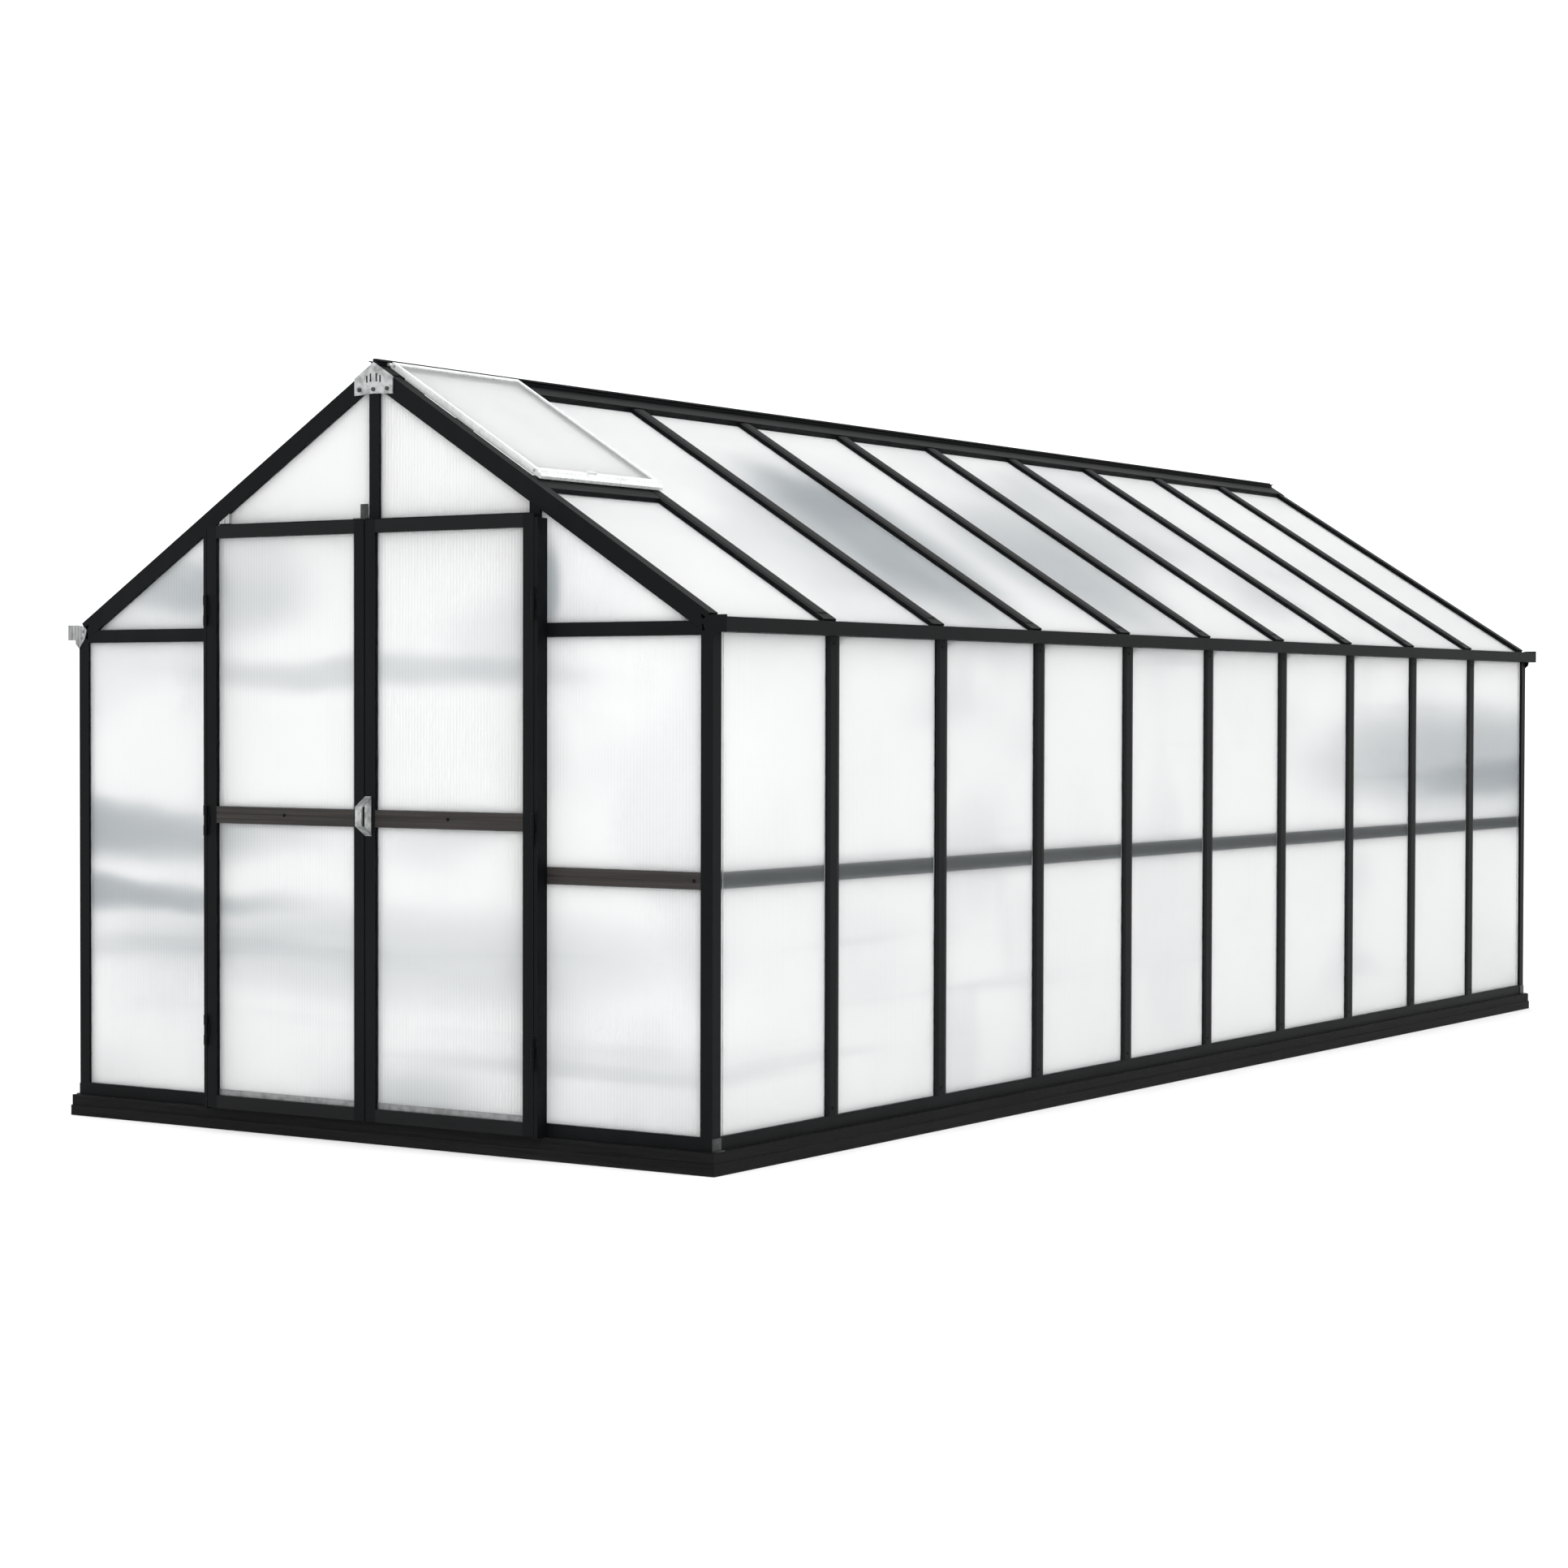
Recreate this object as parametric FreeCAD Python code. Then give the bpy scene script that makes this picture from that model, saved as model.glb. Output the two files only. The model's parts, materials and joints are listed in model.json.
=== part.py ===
"""Walk-in gable greenhouse: black aluminium glazing bars, twin-wall sheet panels, double doors, two ridge vents.

The frame: +Z up, origin on the ground under the middle of everything drawn, the door gable faces -Y.
X runs across the gable and Y along the ridge. All sizes are in millimetres. The shapes are made about the
middle of the house and moved along the ridge as they are written, because the handle reaches out in front.
"""

import FreeCAD
import Part
import math
import os

V = FreeCAD.Vector

# Overall sizes
bay = 609.6  # from one glazing bar to the next along the ridge
bay_count = 10
half_width = 1195.0  # from the middle to the outer face of a side wall
eave_bottom = 1477.0
eave_height = 44.0
roof_pitch = 32.0  # degrees

# Timber base
board_thick = 32.0
board_width = 89.0
board_out = 20.0  # how far the base stands out from the walls
board_step = 3.0  # the upper course is set back by this much

# Aluminium sections
post = 40.0  # corner posts and gable rails, and how deep every gable member is
jamb_width = 38.0
rafter_depth = 54.0
sill_height = 38.0
cap_width = 66.0
cap_thick = 9.0  # outside the wall sheets
roof_cap_thick = 17.0  # outside the roof sheets
neck_width = 8.0
box_width = 32.0
box_depth = 26.0
tube_wall = 2.0
beam_wall = 3.0  # the eave beams and the ridge
king_width = 38.0
rail_height = 39.0  # the gable's rail at eave height
rail_bottom = eave_bottom - 9.0
girt_height = 47.0
girt_bottom = 776.0
girt_depth = 24.0
header_bottom = 1780.0
header_height = 38.0

# Panels
panel_thick = 8.0
panel_play = 0.3  # clearance on each face in a groove
groove_depth = 10.0
panel_bite = 8.0  # how far a panel's edge sits in its groove
neck_gap = 1.0  # from a panel's edge to a glazing bar's neck

# Ridge
ridge_flange = 75.0
ridge_flange_thick = 3.0
ridge_web_half = 20.0
ridge_web_drop = 70.0
crest_half = 5.0
crest_height = 13.0
fit_gap = 0.5  # between members that butt

# Vents
vent_end = 672.0  # down the slope from the apex to the vent's nose
vent_lift = 4.0  # underside of the sash above the glazing bars' caps
vent_rail_height = 18.0
vent_rail_width = 14.0
vent_bottom_rail = 34.0
vent_side_gap = 3.0
vent_overlap = 23.0  # how far the sash reaches over the middle of the bar beside it
bulb_radius = 5.0
bulb_along = 15.0  # the hinge line, down the slope from the apex
bulb_play = 0.6
trimmer_width = 70.0
trimmer_inset = 24.0  # the trimmer starts this far up the slope from the vent's nose
stay_length = 400.0
stay_width = 16.0
stay_thick = 4.0
stay_pin_radius = 3.0
stay_pin_play = 0.1

# Plates and brackets
plate_half = 72.0  # the ridge plates
plate_thick = 4.0
plate_drop = 92.0  # from the apex to the plate's lower edge
plate_rise = 3.0  # the plate stands this far over the rafters' tops
plate_bolt_places = (-52.0, 0.0, 52.0)
plate_bolt_rise = 16.0
plate_bolt_radius = 3.0
plate_bolt_play = 0.2
plate_bolt_head = 6.0
# each slot's left side, its rise over the plate's lower edge and its height
plate_slots = ((-28.0, 36.0, 20.0), (-14.0, 38.0, 24.0), (8.0, 38.0, 24.0), (22.0, 36.0, 20.0))
plate_slot_width = 6.0
eave_plate_thick = 3.0
eave_plate_out = 46.0
gusset_thick = 3.0
gusset_reach = 85.0
gusset_drop = 25.0
gusset_gap = 4.0  # behind the wall sheets
anchor_thick = 3.0
anchor_height = 36.0
anchor_foot = 15.0
anchor_length = 40.0

# Doors
jamb_inner = 568.0
leaf_edge = 617.0
leaf_gap = 4.0  # between the two leaves
frame_gap = 2.0  # from a leaf's edge to the door frame
frame_width = 12.0
frame_flange = 3.0
frame_flange_width = 30.0
frame_top = 1800.0
leaf_thick = 36.0
leaf_stand_off = 8.0  # from the gable's face to the back of a leaf
leaf_bottom_gap = 4.0
leaf_top = 1812.0
stile_width = 38.0
top_rail = 38.0
mid_rail = 50.0
mid_rail_bottom = 923.0
bottom_rail = 38.0
trim_height = 18.0
trim_thick = 3.0
hinge_radius = 5.5
hinge_pin_radius = 2.5
hinge_pin_play = 0.1
hinge_height = 90.0
hinge_heights = (300.0, 930.0, 1560.0)
hinge_plate = 3.0
hinge_plate_width = 12.0
hinge_lift = 0.5  # from the doors' front face to the knuckles
knuckle_gap = 0.4
handle_height = 114.0
handle_grip = 56.0
handle_reach = 44.0
handle_width = 24.0
handle_thick = 5.0
handle_plate = 2.0  # the plate behind the grip, against the stile
handle_centre = 955.0
bolt_radius = 4.0
bolt_play = 0.5
bolt_in = 15.0  # from the leaf's meeting edge to the bolt's middle
bolt_depth = 14.0  # from the leaf's back to the bolt's middle
bolt_length = 100.0
bolt_travel = 15.0
keeper_gap = 3.0
keeper_thick = 3.0
keeper_height = 46.0
keeper_left = -50.0
keeper_width = 28.0
keeper_shelf = 45.0
guide_height = 24.0
guide_play = 0.1

# Sizes that follow
half_length = bay * bay_count / 2
board_top = 2 * board_thick
wall_bottom = board_top + sill_height
gable_face = half_length  # outer face of each gable, as a distance from the middle
gable_inner = gable_face - post
wall_inner = half_width - post
eave_top = eave_bottom + eave_height
slope = math.radians(roof_pitch)
apex = eave_top + half_width * math.tan(slope)
slope_length = half_width / math.cos(slope)
groove = panel_thick + 2 * panel_play
nose_start = (wall_inner - 20) / math.cos(slope)  # where a rafter's cap runs on alone over the gutter
nose_end = slope_length - 14
roof_nose_drop = 3.0
leaf_back = gable_face + leaf_stand_off
leaf_front = leaf_back + leaf_thick
leaf_bottom = board_top + leaf_bottom_gap
jamb_outer = jamb_inner + jamb_width
bulb_rise = ridge_flange_thick + bulb_radius + bulb_play
vent_y0 = -gable_inner + vent_side_gap
vent_y1 = -half_length + bay + vent_overlap
frame_inner = leaf_edge + frame_gap
frame_outer = frame_inner + frame_width
vent_top_rail = 26.0  # down the slope from the apex to the sash's top rail
trimmer_start = vent_end - trimmer_inset
trimmer_end = trimmer_start + trimmer_width
hinge_x = leaf_edge + frame_gap / 2
hinge_y = -(leaf_front + hinge_radius + hinge_lift)
bolt_x = -(leaf_gap / 2 + bolt_in)
bolt_y = -(leaf_back + bolt_depth)
front_reach = leaf_front + handle_reach
rear_reach = gable_face + board_out
middle = (front_reach - rear_reach) / 2  # from the middle of everything drawn to the middle of the house
bar_places = [-half_length + bay * k for k in range(1, bay_count)]


def box(x0, x1, y0, y1, z0, z1):
    """A box between two corners."""
    x0, x1 = sorted((x0, x1))
    y0, y1 = sorted((y0, y1))
    return Part.makeBox(x1 - x0, y1 - y0, z1 - z0, V(x0, y0, z0))


def prism(points, sweep):
    """A closed outline swept along a vector."""
    corners = [V(*p) for p in points]
    return Part.Face(Part.makePolygon(corners + corners[:1])).extrude(V(*sweep))


def joined(shapes):
    """One solid from overlapping or touching solids."""
    return shapes[0].fuse(shapes[1:]).removeSplitter()


def mirrored(shape):
    """The same shape on the other side of the middle plane X = 0."""
    return shape.mirror(V(0, 0, 0), V(1, 0, 0))


def reversed_end(shape):
    """The same shape at the other gable."""
    return shape.mirror(V(0, 0, 0), V(0, 1, 0))


def on_slope(shape, side):
    """Moves a shape made in slope coordinates onto a roof slope: X down the slope from the apex, Z out of the roof."""
    shape = shape.copy()
    shape.rotate(V(0, 0, 0), V(0, 1, 0), roof_pitch)
    shape.translate(V(0, 0, apex))
    return shape if side > 0 else mirrored(shape)


def above_line(depth):
    """Everything above the line that lies at a depth under the roof's outer face, on both slopes."""
    far, tall = half_width + 400, apex + 400
    drop = depth / math.cos(slope)
    eave_z = apex - drop - far * math.tan(slope)
    y = gable_face + 200
    points = [(-far, -y, eave_z), (0, -y, apex - drop), (far, -y, eave_z), (far, -y, tall), (-far, -y, tall)]
    return prism(points, (0, 2 * y, 0))


def write(name, shapes):
    """Writes one node as a STEP file."""
    shapes = shapes if isinstance(shapes, list) else [shapes]
    compound = Part.makeCompound([s for shape in shapes for s in shape.Solids])
    compound.translate(V(0, middle, 0))
    compound.exportStep(f"parts/{name}.step")


def base_boards(course):
    """One course of the timber base: two long boards, and two between them."""
    out = board_out - board_step * course
    x, y, z = half_width + out, gable_face + out, board_thick * course
    long_board = box(x - board_width, x, -y, y, z, z + board_thick)
    end_board = box(board_width - x, x - board_width, -y, board_width - y, z, z + board_thick)
    return [long_board, mirrored(long_board), end_board, reversed_end(end_board)]


def hollow(shape, x0, x1, y0, y1, z0, z1):
    """Cuts an open-ended void from a section."""
    return shape.cut(box(x0, x1, y0, y1, z0, z1))


def groove_span(face):
    """The groove's two sides, as distances from the middle, for a wall whose outer face is at a distance."""
    return face - cap_thick - groove, face - cap_thick


def gable_sill():
    """The front sill: a hollow section between the corner posts with the panels' groove along its top."""
    g0, g1 = groove_span(gable_face)
    sill = box(-wall_inner, wall_inner, -gable_face, -gable_inner, board_top, wall_bottom)
    sill = sill.cut(box(-wall_inner, wall_inner, -g1, -g0, wall_bottom - groove_depth, wall_bottom))
    low, high = board_top + tube_wall, wall_bottom - groove_depth - tube_wall
    return hollow(sill, -wall_inner, wall_inner, -gable_face + tube_wall, -gable_inner - tube_wall, low, high)


def side_sill():
    """The right-hand sill, between the corner posts."""
    g0, g1 = groove_span(half_width)
    sill = box(wall_inner, half_width, -gable_inner, gable_inner, board_top, wall_bottom)
    sill = sill.cut(box(g0, g1, -gable_inner, gable_inner, wall_bottom - groove_depth, wall_bottom))
    low, high = board_top + tube_wall, wall_bottom - groove_depth - tube_wall
    return hollow(sill, wall_inner + tube_wall, half_width - tube_wall, -gable_inner, gable_inner, low, high)


def corner_post():
    """The front right corner post, with a groove for the gable's panel and one for the side wall's."""
    x0, x1 = groove_span(half_width)
    y0, y1 = groove_span(gable_face)
    shape = box(wall_inner, half_width, -gable_face, -gable_inner, board_top, eave_bottom)
    shape = shape.cut(box(x0, x1, -gable_inner - groove_depth, -gable_inner, board_top, eave_bottom))
    shape = shape.cut(box(wall_inner, wall_inner + groove_depth, -y1, -y0, board_top, eave_bottom))
    inside = half_width - cap_thick - groove - tube_wall
    back = gable_face - cap_thick - groove - tube_wall
    return hollow(
        shape, wall_inner + tube_wall, inside - groove_depth / 2, -back + groove_depth / 2,
        -gable_inner - tube_wall, board_top, eave_bottom,
    )


def bar_foot(cap):
    """How far a glazing bar reaches in from its cap's outer face."""
    return cap + groove + box_depth


def glazing_bar(length, cap):
    """A glazing bar lying along X from 0, its cap's outer face at Z = 0 and its box below the panels."""
    half_cap, half_neck, half_box = cap_width / 2, neck_width / 2, box_width / 2
    lip, shelf, foot = -cap, -cap - groove, -bar_foot(cap)
    crown, shoulder = cap_width / 4, -3.0
    right = [
        (crown, 0), (half_cap, shoulder), (half_cap, lip), (half_neck, lip),
        (half_neck, shelf), (half_box, shelf), (half_box, foot),
    ]
    outline = right + [(-y, z) for y, z in reversed(right)]
    bar = prism([(0, y, z) for y, z in outline], (length, 0, 0))
    void = box_width / 2 - tube_wall
    return bar.cut(box(0, length, -void, void, foot + tube_wall, shelf - tube_wall))


def wall_bars(side):
    """The upright glazing bars of one side wall, between the sill and the gutter."""
    made = []
    for y in bar_places:
        bar = glazing_bar(eave_bottom - wall_bottom, cap_thick)
        bar.rotate(V(0, 0, 0), V(0, 1, 0), -90)
        bar.rotate(V(0, 0, 0), V(0, 0, 1), 180)
        bar.translate(V(half_width, y, wall_bottom))
        made.append(bar if side > 0 else mirrored(bar))
    return made


def roof_limits(shape):
    """Keeps what lies between the ridge's web and the gutter's inner face, on the right-hand slope."""
    reach = gable_face + 50
    return shape.common(box(ridge_web_half + fit_gap, wall_inner, -reach, reach, 0, apex + 100))


def under_ridge(shape):
    """Cuts a roof member back under the ridge's skirt."""
    y, edge = gable_face + 50, ridge_flange + fit_gap
    return shape.cut(box(-50, edge, -y, y, -roof_cap_thick - fit_gap, 50))


def roof_bars(side):
    """The glazing bars of one slope. Each cap runs on over the gutter's inner edge."""
    made = []
    for y in bar_places:
        bar = under_ridge(glazing_bar(slope_length, roof_cap_thick))
        bar.translate(V(0, y, 0))
        bar = roof_limits(on_slope(bar, 1))
        half = cap_width / 2
        nose = box(nose_start, nose_end, y - half, y + half, -roof_cap_thick, -roof_nose_drop)
        bar = joined([bar, on_slope(nose, 1)])
        made.append(bar if side > 0 else mirrored(bar))
    return made


def gable_rafter():
    """The front right gable rafter, with a groove for the roof's panel and one for the gable's."""
    y0, y1 = groove_span(gable_face)
    shelf = -roof_cap_thick - groove
    shape = box(0, slope_length, -gable_face, -gable_inner, -rafter_depth, 0)
    shape = shape.cut(box(0, slope_length, -gable_inner - groove_depth, -gable_inner, shelf, -roof_cap_thick))
    shape = shape.cut(box(0, slope_length, -y1, -y0, -rafter_depth, -rafter_depth + groove_depth))
    low, high = -rafter_depth + tube_wall, shelf - tube_wall
    shape = hollow(shape, 0, slope_length, -y0 + tube_wall, -gable_inner - tube_wall, low, high)
    shape = roof_limits(on_slope(under_ridge(shape), 1))
    nose = box(nose_start, nose_end, -gable_face, -gable_inner, -roof_cap_thick, 0)
    return joined([shape, on_slope(nose, 1)])


def gutter():
    """The right-hand eave beam: a hollow beam under the roof panels with a gutter along its outer side."""
    y = gable_face
    gutter_out, lip, floor = 45.0, 3.0, 6.0
    rest = (roof_cap_thick + groove) / math.cos(slope)

    def under_roof(x):
        return apex - x * math.tan(slope) - rest

    x0, x1 = wall_inner, half_width
    points = [
        (x0, -y, eave_bottom), (x1 + gutter_out, -y, eave_bottom), (x1 + gutter_out, -y, eave_top - 4),
        (x1 + gutter_out - lip, -y, eave_top - 4), (x1 + gutter_out - lip, -y, eave_bottom + floor),
        (x1, -y, eave_bottom + floor), (x1, -y, under_roof(x1)), (x0, -y, under_roof(x0)),
    ]
    beam = prism(points, (0, 2 * y, 0))
    g0, g1 = groove_span(half_width)
    grooved = gable_inner + groove_depth
    beam = beam.cut(box(g0, g1, -grooved, grooved, eave_bottom, eave_bottom + groove_depth))
    return beam.cut(box(x0 + beam_wall, g0 - beam_wall, -y, y, eave_bottom + beam_wall, under_roof(g0) - beam_wall))


def ridge_beam():
    """The ridge: a hollow web, a flange on each slope, and a crest whose two hooks hold the vents' hinge beads."""
    y = gable_face
    shapes = []
    flange_z = ridge_flange_thick
    for side in (1, -1):
        skirt = box(0, ridge_flange, -y, y, -roof_cap_thick, flange_z)
        inside = box(0, ridge_flange - beam_wall, -y, y, -roof_cap_thick + beam_wall, 0)
        shapes.append(on_slope(skirt.cut(inside), side))
        outer = Part.makeCylinder(bulb_radius + bulb_play + 2, 2 * y, V(bulb_along, -y, bulb_rise), V(0, 1, 0))
        inner = Part.makeCylinder(bulb_radius + bulb_play, 2 * y, V(bulb_along, -y, bulb_rise), V(0, 1, 0))
        keep = box(-20, bulb_along, -y, y, flange_z - 1, bulb_rise + 20)
        shapes.append(on_slope(outer.cut(inner).common(keep), side))
    web_top = apex - ridge_web_half * math.tan(slope)
    w = ridge_web_half
    shapes.append(
        prism(
            [(-w, -y, apex - ridge_web_drop), (w, -y, apex - ridge_web_drop), (w, -y, web_top), (0, -y, apex), (-w, -y, web_top)],
            (0, 2 * y, 0),
        )
    )
    shapes.append(box(-crest_half, crest_half, -y, y, apex - 2, apex + crest_height))
    beam = joined(shapes)
    for side in (1, -1):
        bead = Part.makeCylinder(bulb_radius + bulb_play, 2 * y, V(bulb_along, -y, bulb_rise), V(0, 1, 0))
        beam = beam.cut(on_slope(bead, side))
    inner = w - beam_wall
    return beam.cut(box(-inner, inner, -y, y, apex - ridge_web_drop + beam_wall, web_top - 2 * beam_wall))


def gable_upright(x0, x1, top, groove_sides, bottom=wall_bottom):
    """A front gable upright from the sill to the rafter, grooved on the sides named by -1 and 1."""
    y0, y1 = groove_span(gable_face)
    shape = box(x0, x1, -gable_face, -gable_inner, bottom, top)
    for side in groove_sides:
        edge = x1 if side > 0 else x0
        shape = shape.cut(box(edge, edge - side * groove_depth, -y1, -y0, bottom, top))
    void = box(x0 + tube_wall, x1 - tube_wall, -y0 + tube_wall, -gable_inner - tube_wall, bottom, top)
    return shape.cut(void).cut(above_line(rafter_depth + fit_gap))


def gable_rail(x0, x1, bottom, height, grooves):
    """A level front gable member between two uprights, grooved above (1) and below (-1)."""
    y0, y1 = groove_span(gable_face)
    shape = box(x0, x1, -gable_face, -gable_inner, bottom, bottom + height)
    for side in grooves:
        edge = bottom + height - groove_depth if side > 0 else bottom
        shape = shape.cut(box(x0, x1, -y1, -y0, edge, edge + groove_depth))
    void = box(x0, x1, -y0 + tube_wall, -gable_inner - tube_wall, bottom + tube_wall, bottom + height - tube_wall)
    return shape.cut(void).cut(above_line(rafter_depth + fit_gap))


def front_jambs():
    jamb = gable_upright(jamb_inner, jamb_outer, apex, (1,))
    y0, y1 = groove_span(gable_face)
    top = header_bottom + header_height - groove_depth
    jamb = jamb.cut(box(jamb_inner, jamb_inner + groove_depth, -y1, -y0, top, apex))
    return [jamb, mirrored(jamb)]


def king_post(bottom):
    """The short upright from the header, or from the rear gable's rail, to the ridge."""
    half = king_width / 2
    king = gable_upright(-half, half, apex - ridge_web_drop - fit_gap, (-1, 1), bottom)
    return king


def sheet_span(k):
    """The two edges of a bay's sheet: in the gable members' grooves, or close to a bar's neck."""
    beside_neck = neck_width / 2 + neck_gap
    y0 = -gable_inner - panel_bite if k == 0 else -half_length + bay * k + beside_neck
    y1 = gable_inner + panel_bite if k == bay_count - 1 else -half_length + bay * (k + 1) - beside_neck
    return y0, y1


def wall_panels(side):
    """The ten sheets of one side wall."""
    x0 = half_width - cap_thick - panel_play - panel_thick
    low, high = wall_bottom - panel_bite, eave_bottom + panel_bite
    made = []
    for k in range(bay_count):
        y0, y1 = sheet_span(k)
        sheet = box(x0, x0 + panel_thick, y0, y1, low, high)
        made.append(sheet if side > 0 else mirrored(sheet))
    return made


def roof_panels(side):
    """The ten sheets of one slope. The first starts under the vent's trimmer."""
    z0 = -roof_cap_thick - panel_play - panel_thick
    top_end = (ridge_web_half + fit_gap - z0 * math.sin(slope)) / math.cos(slope)
    made = []
    for k in range(bay_count):
        y0, y1 = sheet_span(k)
        start = trimmer_end - panel_bite if k == 0 else top_end
        made.append(on_slope(box(start, slope_length - 4, y0, y1, z0, z0 + panel_thick), side))
    return made


def gable_panel(x0, x1, z0, z1):
    """A front gable sheet. Its top follows the rafters where they come lower."""
    y0 = gable_face - cap_thick - panel_play - panel_thick
    sheet = box(x0, x1, -y0 - panel_thick, -y0, z0, z1)
    return sheet.cut(above_line(rafter_depth - panel_bite))


def front_panels():
    """The sheets of the door gable: beside the doors, above the rails, and above the header."""
    inner, outer = jamb_outer - panel_bite, wall_inner + panel_bite
    low = wall_bottom - panel_bite
    rail_top = rail_bottom + rail_height
    left = gable_panel(-outer, -inner, low, rail_bottom + panel_bite)
    right_low = gable_panel(inner, outer, low, girt_bottom + panel_bite)
    right_high = gable_panel(inner, outer, girt_bottom + girt_height - panel_bite, rail_bottom + panel_bite)
    triangle = gable_panel(inner, wall_inner - 6, rail_top - panel_bite, apex)
    head = gable_panel(
        king_width / 2 - panel_bite, jamb_inner + panel_bite, header_bottom + header_height - panel_bite, ridge_cut()
    )
    return [left, right_low, right_high, triangle, mirrored(triangle), head, mirrored(head)]


def ridge_cut():
    """The height at which sheets beside a king post stop, under the ridge's web."""
    return apex - ridge_web_drop - fit_gap


def rear_panels():
    """The sheets of the plain gable."""
    inner, outer = jamb_outer - panel_bite, wall_inner + panel_bite
    low, rail_top = wall_bottom - panel_bite, rail_bottom + rail_height
    side = gable_panel(inner, outer, low, rail_bottom + panel_bite)
    middle = gable_panel(-jamb_inner - panel_bite, jamb_inner + panel_bite, low, rail_bottom + panel_bite)
    triangle = gable_panel(inner, wall_inner - 6, rail_top - panel_bite, apex)
    head = gable_panel(king_width / 2 - panel_bite, jamb_inner + panel_bite, rail_top - panel_bite, ridge_cut())
    front = [side, mirrored(side), middle, triangle, mirrored(triangle), head, mirrored(head)]
    return [reversed_end(s) for s in front]


def rear_posts():
    """The two full-height uprights of the plain gable."""
    upright = gable_upright(jamb_inner, jamb_outer, apex, (-1, 1))
    return [reversed_end(upright), reversed_end(mirrored(upright))]


def girt_segment(k):
    """One length of the right-hand wall's girt, close behind a sheet and between two bars."""
    x1 = half_width - cap_thick - groove
    y0 = (-gable_inner if k == 0 else -half_length + bay * k + box_width / 2) + fit_gap
    y1 = (gable_inner if k == bay_count - 1 else -half_length + bay * (k + 1) - box_width / 2) - fit_gap
    girt = box(x1 - girt_depth, x1, y0, y1, girt_bottom, girt_bottom + girt_height)
    wall = tube_wall
    return girt.cut(
        box(x1 - girt_depth - 1, x1 - wall, y0, y1, girt_bottom + wall, girt_bottom + girt_height - wall)
    )


def rear_girts():
    """The plain gable's girt, in three lengths close behind the sheets."""
    y1 = gable_face - cap_thick - groove
    made = []
    end = min(half_width - cap_thick - groove - girt_depth, wall_inner)  # the side girts or the posts come first
    spans = [(-end, -jamb_outer), (-jamb_inner, jamb_inner), (jamb_outer, end)]
    for x0, x1 in spans:
        a, b = x0 + fit_gap, x1 - fit_gap
        girt = box(a, b, y1 - girt_depth, y1, girt_bottom, girt_bottom + girt_height)
        wall = tube_wall
        low, high = girt_bottom + wall, girt_bottom + girt_height - wall
        made.append(girt.cut(box(a, b, y1 - girt_depth - 1, y1 - wall, low, high)))
    return made


def front_girt():
    """The rail across the right-hand light beside the doors, with a shallow groove along its face."""
    girt = gable_rail(jamb_outer, wall_inner, girt_bottom, girt_height, (-1, 1))
    mid = girt_bottom + girt_height * 0.45
    return girt.cut(box(jamb_outer, wall_inner, -gable_face, -gable_face + 1.5, mid, mid + 2.5))


def vent_trimmer(side):
    """The cross bar under a vent's nose, grooved for the short roof sheet below it."""
    y0, y1 = -gable_inner + fit_gap, -half_length + bay - box_width / 2 - fit_gap
    foot, shelf = -bar_foot(roof_cap_thick), -roof_cap_thick - groove
    bar = box(trimmer_start, trimmer_end, y0, y1, foot, 0)
    bar = bar.cut(box(trimmer_end - groove_depth, trimmer_end, y0, y1, shelf, -roof_cap_thick))
    cap_edge = -half_length + bay - cap_width / 2 - fit_gap
    beside_cap = box(trimmer_start, trimmer_end, cap_edge, y1, shelf, 0)
    void = box(
        trimmer_start + tube_wall, trimmer_end - groove_depth - tube_wall, y0, y1, foot + tube_wall, shelf
    )
    return on_slope(bar.cut(beside_cap).cut(void), side)


def ridge_plate():
    """The front gable's ridge connector: a five-sided plate with a row of bolt holes and a fan of slots."""
    half, thick = plate_half, plate_thick
    bottom, top = apex - plate_drop, apex + plate_rise
    shoulder = apex - half * math.tan(slope) + plate_rise
    y = -gable_face - thick
    points = [(-half, bottom), (0, bottom + 4), (half, bottom), (half, shoulder), (0, top), (-half, shoulder)]
    plate = prism([(x, y, z) for x, z in points], (0, thick, 0))
    for x, rise, tall in plate_slots:
        low = bottom + rise
        plate = plate.cut(box(x, x + plate_slot_width, y, y + thick, low, low + tall))
    hole = plate_bolt_radius + plate_bolt_play
    for x in plate_bolt_places:
        plate = plate.cut(Part.makeCylinder(hole, thick, V(x, y, bottom + plate_bolt_rise), V(0, 1, 0)))
    return plate


def ridge_bolts():
    """The three bolts of the front ridge plate, their heads outside."""
    made = []
    y = -gable_face - plate_thick
    for x in plate_bolt_places:
        z = apex - plate_drop + plate_bolt_rise
        head = Part.makeCylinder(plate_bolt_head, 4.0, V(x, y - 4.0, z), V(0, 1, 0))
        shank = Part.makeCylinder(plate_bolt_radius, plate_thick, V(x, y, z), V(0, 1, 0))
        made.append(joined([head, shank]))
    return made + [reversed_end(b) for b in made]


def eave_bracket():
    """The front left end plate, which closes the gutter and ties it to the corner post."""
    thick, out = eave_plate_thick, eave_plate_out
    x, y = -half_width, -gable_face - thick
    points = [
        (x - out, eave_bottom - 1), (x - 14, eave_bottom - 1), (x - 12, eave_bottom - 14), (x + 2, eave_bottom - 26),
        (x + 26, eave_bottom + 4), (x + 34, eave_bottom + 30), (x + 22, eave_top - 2), (x - 4, eave_top + 2),
        (x - out, eave_top + 2),
    ]
    return prism([(a, y, b) for a, b in points], (0, thick, 0))


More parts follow.
